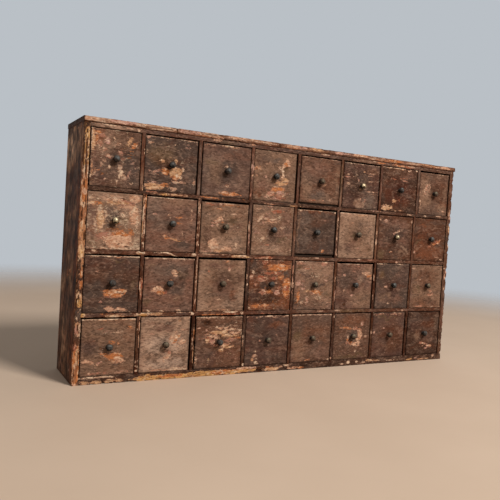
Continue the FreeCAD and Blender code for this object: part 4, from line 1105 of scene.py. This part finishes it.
    (3, 4): ("rust", 0.7, """dusk 14 114 40 50; pitch 50 33 86 34; dusk 64 66 80 26; slate 15 125 32 27;
    red 45 130 20 12; orange 90 118 72 20; cream 12 105 10 7; pink 8 92 12 10; red 38 90 36 8;
    salmon 38 84 26 6; slate 115 100 22 14; slate 45 68 28 22; salmon 45 50 20 12; orange 62 52 20 11;
    pink 90 50 18 13; orange 120 62 26 54; red 118 60 22 14; dusk 52 32 86 26; rust 115 30 32 32;
    orange 25 12 34 11; cream 5 8 6 7; beige 88 75 7 6; red 70 102 50 8; orange 100 92 18 10;
    slate 70 120 8 6; pitch 36 100 44 14; pitch 18 44 26 30; peach 100 122 20 6; salmon 20 70 12 8;
    red 96 62 10 6; orange 52 14 24 6; plum 20 40 30 24; red 74 88 20 10; slate 88 108 16 7"""),
    (3, 5): ("rose", 0.7, """blush 60 106 120 60; fawn 112 60 54 100; slate 30 20 64 44;
    fawn 70 60 120 110; salmon 20 132 24 6; salmon 97 130 20 10; olive 10 115 16 14; plum 40 95 60 14;
    cream 82 102 6 6; cream 60 93 7 5; cream 83 93 6 6; pink 12 75 20 16; orange 72 52 32 13;
    ochre 47 53 20 6; orange 16 35 10 38; cream 80 32 8 5; olive 112 45 20 16; pink 45 28 8 16;
    salmon 60 46 14 8; slate 90 70 26 16; pink 104 84 12 5; beige 116 20 14 5; pink 30 60 12 5;
    salmon 40 116 16 4; beige 26 20 8 8; brown 60 14 60 20"""),
    (3, 6): ("rose", 0.4, """fawn 100 30 80 64; fawn 116 112 44 34; slate 30 90 64 76; pink 78 127 8 6;
    pink 60 112 8 4; pink 28 99 8 6; peach 110 106 30 9; orange 122 98 18 10; beige 128 92 10 9;
    beige 133 106 7 18; grey 85 85 24 16; rose 52 50 10 22; beige 28 55 7 8; tan 110 25 50 40;
    chip_dark 33 13 9 4; plum 24 24 50 34; blush 84 84 20 26; pink 60 42 8 6; beige 96 44 10 3;
    salmon 14 80 10 4; beige 70 134 70 2"""),
    (3, 7): ("slate", 0.25, """mauve 30 40 56 70; plum 112 100 50 70; plum 66 70 56 70;
    slate 44 112 60 44; pink 40 68 13 9; rose 88 100 30 14; tan 50 45 24 16; tan 25 35 20 16;
    cream 57 15 10 3; orange 100 136 20 3; olive 20 100 30 30; rose 90 30 40 30; beige 12 60 6 4;
    beige 30 136 30 2"""),
    (3, 8): ("tan", 0.3, """tan 112 40 54 120; clay 60 12 120 34; clay 60 96 80 60; rose 7 70 9 130;
    salmon 86 54 20 8; salmon 86 42 26 6; pink 96 48 10 4; salmon 40 5 50 5; salmon 95 5 50 4;
    beige 90 5 40 3; beige 8 126 12 4; brown 90 20 60 26; umber 60 110 60 20; beige 30 90 12 3;
    olive 30 60 24 24"""),
    (4, 1): ("tan", 0.5, """tan 60 104 120 60; tan 60 90 110 60; orange 60 134 100 2.5;
    orange 117 115 12 6; red 45 113 14 5; pink 57 108 8 5; cream 80 104 20 3; orange 75 80 20 6;
    orange 88 75 8 8; orange 84 42 40 28 -8; peach 92 38 24 14; peach 92 30 22 6; orange 58 50 26 10 -20;
    orange 54 52 20 6; peach 22 33 34 8 -14; peach 40 27 14 6; peach 6 34 10 6; pink 45 31 10 5;
    salmon 44 6 50 4; salmon 96 6 44 5; slate 85 24 24 7; beige 50 56 12 3; plum 20 70 26 40;
    beige 90 5 40 2.5; salmon 30 84 9 4"""),
    (4, 2): ("blush", 0.5, """blush 66 50 120 60; cream 92 134 76 2.5; ochre 103 128 8 6;
    red 112 105 14 4; peach 97 97 18 7; peach 89 84 24 18; orange 94 76 12 8; cream 84 78 9 6;
    cream 103 91 9 6; cream 96 86 8 5; peach 111 74 25 15; cream 116 78 8 5; rose 60 124 110 5;
    mauve 44 108 80 4; mauve 90 22 70 5; rose 40 84 60 5; peach 84 70 16 6; orange 102 88 8 5;
    peach 76 38 12 16; beige 66 30 6 22; salmon 78 46 8 10; beige 78 42 10 6; cream 68 32 5 12;
    rust 75 48 32 9; peach 56 5 40 7; beige 100 5 74 8; cream 104 3 60 4; fawn 30 40 40 40;
    pink 30 96 12 3; chalky 60 70 100 40; chalky 70 20 110 26; beige 98 62 10 4; rose 60 112 60 14;
    beige 20 10 30 3; fawn 110 40 26 20; cream 86 90 8 4"""),
    (4, 3): ("warm", 0.62, """pitch 30 120 22 20; chip_dark 30 121 15 15; pink 8 107 12 7;
    pink 28 100 8 7; salmon 28 90 26 5; ochre 70 94 60 12; peach 50 84 34 9; ochre 34 74 14 12;
    ochre 104 84 50 9; peach 86 60 30 13; cream 100 101 46 5; peach 112 92 40 9; salmon 100 74 34 8;
    peach 60 80 22 6; peach 78 104 30 5; cream 60 108 14 3; cream 96 110 24 3; salmon 47 70 17 16;
    ochre 92 55 30 9; ochre 75 47 16 10; beige 4 28 6 24; cream 126 100 14 7; ochre 84 86 18 9;
    chip_dark 74 84 5 5; chip_dark 104 86 8 4; plum 40 30 70 40; orange 120 78 20 8; red 34 80 18 4;
    salmon 60 60 14 6; rose 110 30 40 24; beige 40 132 60 2; chip_dark 84 78 12 5; chip_dark 66 88 8 4;
    chip_dark 110 80 12 4; chip_dark 92 96 10 3; chip_dark 50 78 5 7; chip_dark 56 66 8 4;
    chip_dark 100 60 9 3; chip_dark 118 88 8 3; chip_dark 70 98 12 2.6"""),
    (4, 4): ("plum", 0.25, """slate 40 90 80 70; dusk 110 40 50 90; plum 90 70 90 90; mauve 76 35 30 44;
    slate 14 24 24 40; pink 98 82 6 5; pink 45 68 6 6; cream 33 36 14 5; beige 33 26 16 7;
    cream 35 18 10 5; cream 37 7 14 10; grey 8 30 10 12; rust 100 110 60 20; beige 70 132 60 2;
    ochre 26 16 10 5"""),
    (4, 5): ("brown", 0.15, """fawn 24 40 36 70; clay 80 90 90 60; beige 66 135 110 2; tan 28 32 36 54;
    cream 95 57 9 4; orange 55 5 26 3.5; cream 133 3 6 6; rose 100 30 60 30; olive 20 80 24 30"""),
    (4, 6): ("brown", 0.55, """clay 70 112 110 36; grey 70 74 26 30; orange 42 95 34 5; orange 58 92 24 7;
    salmon 76 92 26 9; salmon 94 86 18 12; peach 97 72 15 30; peach 92 56 16 24; peach 80 44 30 13;
    salmon 62 50 18 10; orange 50 58 10 12; beige 52 66 7 10; grey 76 62 20 24; salmon 50 50 13 7;
    pink 103 105 11 13; tan 30 93 14 8; olive 66 10 130 12; cream 83 22 5 5; red 60 82 10 4;
    orange 64 50 8 8; beige 118 66 8 4"""),
    (4, 7): ("plum", 0.15, """mauve 60 70 110 110; russet 76 60 100 90; salmon 52 131 96 4;
    olive 52 122 96 6; pink 5 77 10 7; pink 43 90 7 5; pink 83 44 5 6; cream 53 13 6 4; umber 90 40 60 50"""),
    (4, 8): ("dusk", 0.25, """pitch 60 114 110 40; tan 44 62 26 44; russet 80 80 90 90; salmon 62 38 18 9;
    peach 76 34 20 8 -20; salmon 94 28 30 10 -16; pink 84 20 16 8; beige 70 28 10 5; tan 48 52 16 14;
    rose 105 50 7 13; salmon 76 36 10 5; ochre 104 27 10 5; plum 30 100 50 40; moss 124 96 24 60;
    tan 36 62 30 16"""),
}


def nest(span):
    """Grid places across a span: close together by its ends, where the arris is."""
    edge = np.array(ARRIS_PLACES)
    inner = spread(edge[-1], span - edge[-1], FACE_GRID)
    return np.concatenate([edge[:-1], inner, span - edge[:-1][::-1]])


def front_form(spots, gaps, span, seed):
    """Y of each point of a face: eased at the arrises, wavy, leaning a little in its cell and
    nibbled along the edges. gaps are the distances from the sides, the foot and the head."""
    drop = np.zeros(len(spots))
    for distance, radius in zip(gaps, FRONT_EASES):
        gap = np.clip(radius - distance, 0, radius)
        drop = np.maximum(drop, radius - np.sqrt(radius ** 2 - gap ** 2))
    waves = sum(height * ripple(spots, size, seed + shift, octaves)
                for height, size, shift, octaves in FACE_WAVES)
    dice = random.Random(seed)
    lean_u, lean_v = (dice.uniform(-most, most) for most in FACE_LEAN)
    lean = lean_u * (spots[:, 0] / span[0] - 0.5) + lean_v * (spots[:, 1] / span[1] - 0.5)
    nibble = np.clip(ripple(spots, NIBBLE_SIZE, seed + 90, 3) - 0.15, 0, 1) * NIBBLE_DEPTH
    nibble *= np.exp(-gaps.min(0) / NIBBLE_REACH)
    return FACE + FACE_SUNK + drop + waves + lean * 0.5 + nibble


def front_paint(row, column, spots, gaps, width, seed):
    """Film, bare, chip and worn values of a face: its marks with wandering edges, arrises rubbed
    through, grime and painted shade beside the gaps, and a painted shadow and handled paint round the knob."""
    ground, flecked, marks = FACES[row, column]
    u, v = spots[:, 0], spots[:, 1]
    from_side, from_foot, from_head = gaps
    sway_u, sway_v = (reach * ripple(spots * (0.6, 1, 1), size, seed + shift, 3)
                      for reach, size, shift in MARK_SWAYS)
    drift = [PATCH_DRIFT * ripple(spots, PATCH_DRIFT_SIZE, seed + shift, 4) for shift in (37, 47)]
    film, bare, chip = lay_marks(u + sway_u, v + sway_v, ground, listed(marks), drift=drift)
    rub = ripple(spots, FACE_RUB_SIZE, seed + 27, 3)
    arris = np.exp(-from_head / 1.3) * np.clip(0.34 + 0.5 * rub, 0, 1)
    arris += np.exp(-np.minimum(from_side, from_foot) / 1.1) * np.clip(0.1 + 0.55 * rub, 0, 1) * 0.8
    chip = np.clip(chip + arris * 0.75, 0, 1)
    bare[(gaps.min(0) < 3) & (chip < 0.9)] = tone(*BARE["cream" if seed % 3 else "beige"])
    # Grime and painted shade darken the paint along the foot and the sides, beside the gaps.
    grime_and_shade = np.clip(np.exp(-from_foot / 3.0) * 0.6 + np.exp(-from_side / 1.8) * 0.6, 0, 0.8)
    film[:, :3] *= 1 - grime_and_shade[:, None]
    # A painted shadow of the knob, with hands' dirt, darkens the paint round it, set to the lower left.
    from_knob = np.hypot(u - width / 2 + KNOB_SHADE_OFF[0], v - KNOB_HEIGHTS[row - 1] + KNOB_SHADE_OFF[1])
    film[:, :3] *= 1 - KNOB_SHADE * np.exp(-(from_knob[:, None] / KNOB_SHADE_WIDE) ** 2)
    return film, bare, chip, flecked + 0.25 * rub


def drawer_front(drawer, row, column, low, high):
    """One front's face, laps and the thicker middle that stands between the drawer's sides."""
    seed = row * 10 + column
    raised = RAISED_FEET.get((row, column), 0.0)
    width, height = high[0] - low[0] - 2 * DRAWER_ROOM, high[2] - low[2] - 2 * DRAWER_ROOM
    us, vs = nest(width), nest(height - raised) + raised
    u, v = (places.ravel() for places in np.meshgrid(us, vs))
    spots = np.stack([u, v, np.zeros(len(u))], 1)
    gaps = np.array([np.minimum(u, width - u), v - raised, height - v])
    y = front_form(spots, gaps, (width, height), seed)
    film, bare, chip, worn = front_paint(row, column, spots, gaps, width, seed)
    face = np.stack([u + low[0] + DRAWER_ROOM, y, v + low[2] + DRAWER_ROOM], 1)
    grid = np.arange(len(u)).reshape(len(vs), len(us))
    quads = np.stack([grid[:-1, :-1], grid[:-1, 1:], grid[1:, 1:], grid[1:, :-1]], 2)
    faces = quads.reshape(-1, 4).tolist()
    points, paint = [face], [(film, bare, chip, worn)]

    # The edges run back from the face's rim to the lap: paint over their first part, then painted shade.
    rim = np.concatenate([grid[0], grid[1:, -1], grid[-1, -2::-1], grid[-2:0:-1, 0]]).tolist()
    dirt_and_shade = np.tile(tone(*FILM["pitch"]), (len(rim), 1))
    count, last = len(face), rim
    for depth, coat, chipped in ((LIP_DEPTH, film[rim], 0.6), (FRONT_LAP - DRAWER_ROOM, dirt_and_shade, 0.2)):
        ring = face[rim]
        ring[:, 1] = FACE + depth
        points.append(ring)
        paint.append((coat, bare[rim], chip[rim] * chipped, worn[rim]))
        new = list(range(count, count + len(rim)))
        faces += [(a, b, d, c) for a, b, c, d in zip(last, last[1:] + last[:1], new, new[1:] + new[:1])]
        count, last = count + len(rim), new
    faces.append(tuple(last))

    # The middle: dusty bare wood, painted near-black as shade where it shows in the gap.
    core = ((low[0] + DRAWER_SIDE + DRAWER_ROOM, high[0] - DRAWER_SIDE - DRAWER_ROOM),
            (FACE + FRONT_LAP - LAP_OVERLAP, FACE + FRONT_THICK),
            (low[2] + max(DRAWER_BOTTOM, raised) + DRAWER_ROOM, high[2] - CORE_DROP))
    corners = [(x, y, z) for x in core[0] for y in core[1] for z in core[2]]
    faces += [tuple(count + k for k in quad) for quad in BOX_FACES]
    points.append(np.array(corners))
    core_film = [tone(*FILM["pitch" if corner[1] < FACE + FRONT_LAP else "dust"]) for corner in corners]
    paint.append((core_film, [tone(*BARE["ochre"])] * 8, [0.0] * 8, [0.2] * 8))
    make(f"front_{row}_{column}", drawer, np.concatenate(points), faces, PAINTED_ACROSS,
         [drawer], [np.concatenate(part) for part in zip(*paint)])


# ---- The drawer boxes --------------------------------------------------------------------
# Two thin sides and a back on a thin bottom, butted and nailed, of the same unpainted pine as
# the back of the cabinet, and painted black as shade at the ends that show beside the fronts.
SIDE_DROP, BACK_DROP, DRAWER_BACK, DRAWER_END = 2.0, 3.0, 7.0, 72.5
BOX_JOINT = 0.05                # the hairline between two boards
SOFTENED = 0.5                  # how far from its faces a board's first row of points stands
GAP_SHADE_DEPTH, GAP_SHADE_STRENGTH = 0.6, 0.94    # how far back the gap's painted shade runs, and how black it is
WIND = 0.12                     # how unevenly a board's upper edge has shrunk
BOX_NAILS = ((FACE + FRONT_LAP + 3.6, (18.0, 62.0, 108.0)), (DRAWER_END - 3.4, (22.0, 96.0)))   # y; heights
BOX_NAIL_HEAD, BOX_NAIL_PROUD, BOX_NAIL_SUNK = 2.6, 0.12, 0.15


def thin_board(low, high, seed, cells):
    """A small sawn board with softened arrises and a faint wind, as points and faces."""
    low, high = np.array(low), np.array(high)
    middle = (low + high) / 2
    lines = [np.array([start, *np.linspace(start + SOFTENED, end - SOFTENED, n + 1), end])
             for start, end, n in zip(low, high, cells)]
    index, points, faces = {}, [], []

    def point(key):
        """The number of the point at a place in the grid, made the first time it is needed."""
        if key not in index:
            at = np.array([line[k] for line, k in zip(lines, key)])
            rim = [axis for axis, (line, k) in enumerate(zip(lines, key)) if k in (0, len(line) - 1)]
            if len(rim) > 1:
                at[rim] += np.sign(middle[rim] - at[rim]) * SOFTENED / 2
            index[key] = len(points)
            points.append(at)
        return index[key]

    for axis in range(3):
        a, b = [k for k in range(3) if k != axis]
        for end in (0, len(lines[axis]) - 1):
            for i in range(len(lines[a]) - 1):
                for j in range(len(lines[b]) - 1):
                    quad = []
                    for key_a, key_b in ((i, j), (i + 1, j), (i + 1, j + 1), (i, j + 1)):
                        key = [end, end, end]
                        key[a], key[b] = key_a, key_b
                        quad.append(point(tuple(key)))
                    faces.append(quad)
    points = np.array(points)
    points[:, 2] -= WIND * (1 + ripple(points, 40.0, seed, 2)) * (points[:, 2] > middle[2])
    return points, faces


def drawer_box(drawer, row, column, low, high):
    """A drawer's bottom, two sides and back, and the nails through its sides."""
    seed = row * 10 + column
    left, right, foot = low[0] + DRAWER_ROOM, high[0] - DRAWER_ROOM, low[2] + DRAWER_BOTTOM
    left_in, right_in = low[0] + DRAWER_SIDE, high[0] - DRAWER_SIDE
    start, end, head = FACE + FRONT_LAP, DRAWER_END - DRAWER_ROOM, high[2] - SIDE_DROP
    boards = {
        "bottom": ((left, start, low[2] + DRAWER_ROOM), (right, end, foot), (6, 6, 1), PINE_ACROSS),
        "side_left": ((left, start, foot + BOX_JOINT), (left_in, end, head), (1, 8, 6), PINE_DEEP),
        "side_right": ((right_in, start, foot + BOX_JOINT), (right, end, head), (1, 8, 6), PINE_DEEP),
        "back": ((left_in + BOX_JOINT, DRAWER_END - DRAWER_BACK, foot + BOX_JOINT),
                 (right_in - BOX_JOINT, DRAWER_END - 0.2, head - BACK_DROP), (6, 1, 6), PINE_ACROSS),
    }
    for number, (part, (corner, far_corner, cells, material)) in enumerate(boards.items()):
        points, faces = thin_board(corner, far_corner, seed, cells)
        # The front ends of the box's boards, seen in the gap beside the front, are painted black as shade.
        at_gap = points[:, 1] < start + GAP_SHADE_DEPTH
        pine_board(f"{part}_{row}_{column}", drawer, points, faces, material, [drawer],
                   seed * 5 + number, smooth=False, shaded=np.where(at_gap, GAP_SHADE_STRENGTH, 0.0))
    heads = [((x, y, low[2] + height), facing) for y, heights in BOX_NAILS
             for x, facing in ((low[0] + BOX_NAIL_SUNK, -1), (high[0] - BOX_NAIL_SUNK, 1))
             for height in heights]
    nail_heads(f"nails_{row}_{column}", drawer, heads, size=BOX_NAIL_HEAD,
               proud=BOX_NAIL_PROUD, seed=seed)


PINE_ACROSS = pine("aged_pine_across", turn=(0.0, 0.0, 0.0), grime_and_shade=0.6)
PINE_DEEP = pine("aged_pine_front_to_back", turn=(0.0, 0.0, math.pi / 2), grime_and_shade=0.6)


# ---- The knobs ---------------------------------------------------------------------------
# Small turned knobs with a thin foot, a waisted neck and a low domed crown, screwed through
# each front. Most have gone dark and bluish; a few still shine where fingers rub them.
KNOB_PROFILE = (                # how far out from the face, and the radius there
    (0.0, 5.6), (0.5, 6.3), (1.1, 6.2), (1.7, 5.0), (2.4, 4.1), (3.6, 3.6), (4.8, 3.7), (5.8, 4.5),
    (6.6, 5.9), (7.3, 7.3), (8.0, 8.05), (8.9, 8.35), (9.9, 8.4), (10.9, 8.2), (11.9, 7.6), (12.8, 6.7),
    (13.5, 5.7), (13.8, 5.0), (14.0, 4.7), (14.5, 4.4), (15.1, 3.4), (15.5, 2.2), (15.7, 1.0),
)
KNOB_CORNERS = 40
KNOB_LEAN, KNOB_SMALLEST = 0.02, 0.95       # how far a knob may lean and how small it may be
KNOB_NECK, KNOB_CROWN = 6.0, 9.0            # the wear starts past the neck and grows over the crown
BRIGHT_KNOBS = ((1, 6), (2, 1), (2, 7))
BROWN_KNOBS = ((1, 5), (1, 8), (2, 3), (2, 6), (3, 3), (3, 5), (3, 8), (4, 2), (4, 4), (4, 5), (4, 6), (4, 7))


def knob_material(name, dark, worn, earth, metal, shine):
    """Patinated metal: dark in the hollows, worn paler on the crown, with brown dirt and old
    paint left on it in patches. Its wear field also carries a painted highlight and painted shade."""
    material, tree, surface = new_material(name)
    at = put(tree, "TexCoord", take="Object")
    uneven = times(tree, less(tree, cloud(tree, at, 230.0, 5.0, 0.65), 0.5), 2.6)
    rub_and_highlight = ease_in(tree, plus(tree, field(tree, "rub_and_highlight"), uneven), 0.35, 0.9)
    dirty = times(tree, ease_in(tree, cloud(tree, at, 120.0, 4.0, 0.6), 0.48, 0.56), 0.75)
    colour = mix(tree, dirty, mix(tree, rub_and_highlight, tone(*dark), tone(*worn)), tone(*earth))
    bare = times(tree, rub_and_highlight, less(tree, 1.0, dirty))
    dull = less(tree, 0.7, times(tree, bare, shine))
    tree.links.new(skin(tree, colour, dull, cloud(tree, at, 1100.0, 4.0), strength=0.6, deep=0.0004,
                        Metallic=times(tree, bare, metal), Specular_IOR_Level=0.2), surface)
    return material


KNOB_DARK = knob_material("knob_patina", (14, 13, 12), (88, 86, 82), (54, 40, 32), 0.5, 0.18)
KNOB_BROWN = knob_material("knob_dirty", (18, 14, 11), (104, 92, 74), (78, 56, 42), 0.4, 0.16)
KNOB_BRIGHT = knob_material("knob_rubbed", (36, 26, 18), (196, 174, 138), (70, 46, 30), 0.7, 0.3)
KNOB_METALS = {**dict.fromkeys(BROWN_KNOBS, KNOB_BROWN), **dict.fromkeys(BRIGHT_KNOBS, KNOB_BRIGHT)}


def knob(drawer, row, column, low, high):
    """A turned knob at the middle of its front, leaning a little, its crown the most rubbed and its upper
    right painted paler as a highlight.
    """
    x, z = (low[0] + high[0]) / 2, low[2] + KNOB_HEIGHTS[row - 1]
    dice = random.Random(row * 31 + column)
    lean_x, lean_z = dice.uniform(-KNOB_LEAN, KNOB_LEAN), dice.uniform(-KNOB_LEAN, KNOB_LEAN)
    size = dice.uniform(KNOB_SMALLEST, 1.0)
    points, rub_and_highlight = [], []
    for out, radius in KNOB_PROFILE:
        for k in range(KNOB_CORNERS):
            angle = 2 * math.pi * k / KNOB_CORNERS
            points.append((x + radius * size * math.cos(angle) + lean_x * out, FACE + FRONT_ROOM - out,
                           z + radius * size * math.sin(angle) + lean_z * out))
            # Wear grows out to the crown; the sine and cosine terms paint it paler to the upper right as a
            # highlight, darker to the lower left as shade.
            rub_and_highlight.append((out - KNOB_NECK) / KNOB_CROWN + 0.4 * math.sin(angle) + 0.15 * math.cos(angle))
    metal = KNOB_METALS.get((row, column), KNOB_DARK)
    piece = make(f"knob_{row}_{column}", drawer, points, loft(len(KNOB_PROFILE), KNOB_CORNERS), metal,
                 [drawer])
    lay_field(piece, "rub_and_highlight", np.clip(rub_and_highlight, 0, 1))


for row in range(1, 5):
    for column in range(1, 9):
        drawer = f"drawer_row_{row}_column_{column}"
        low, high = (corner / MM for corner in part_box(drawer))
        for build in (drawer_front, drawer_box, knob):
            build(drawer, row, column, low, high)
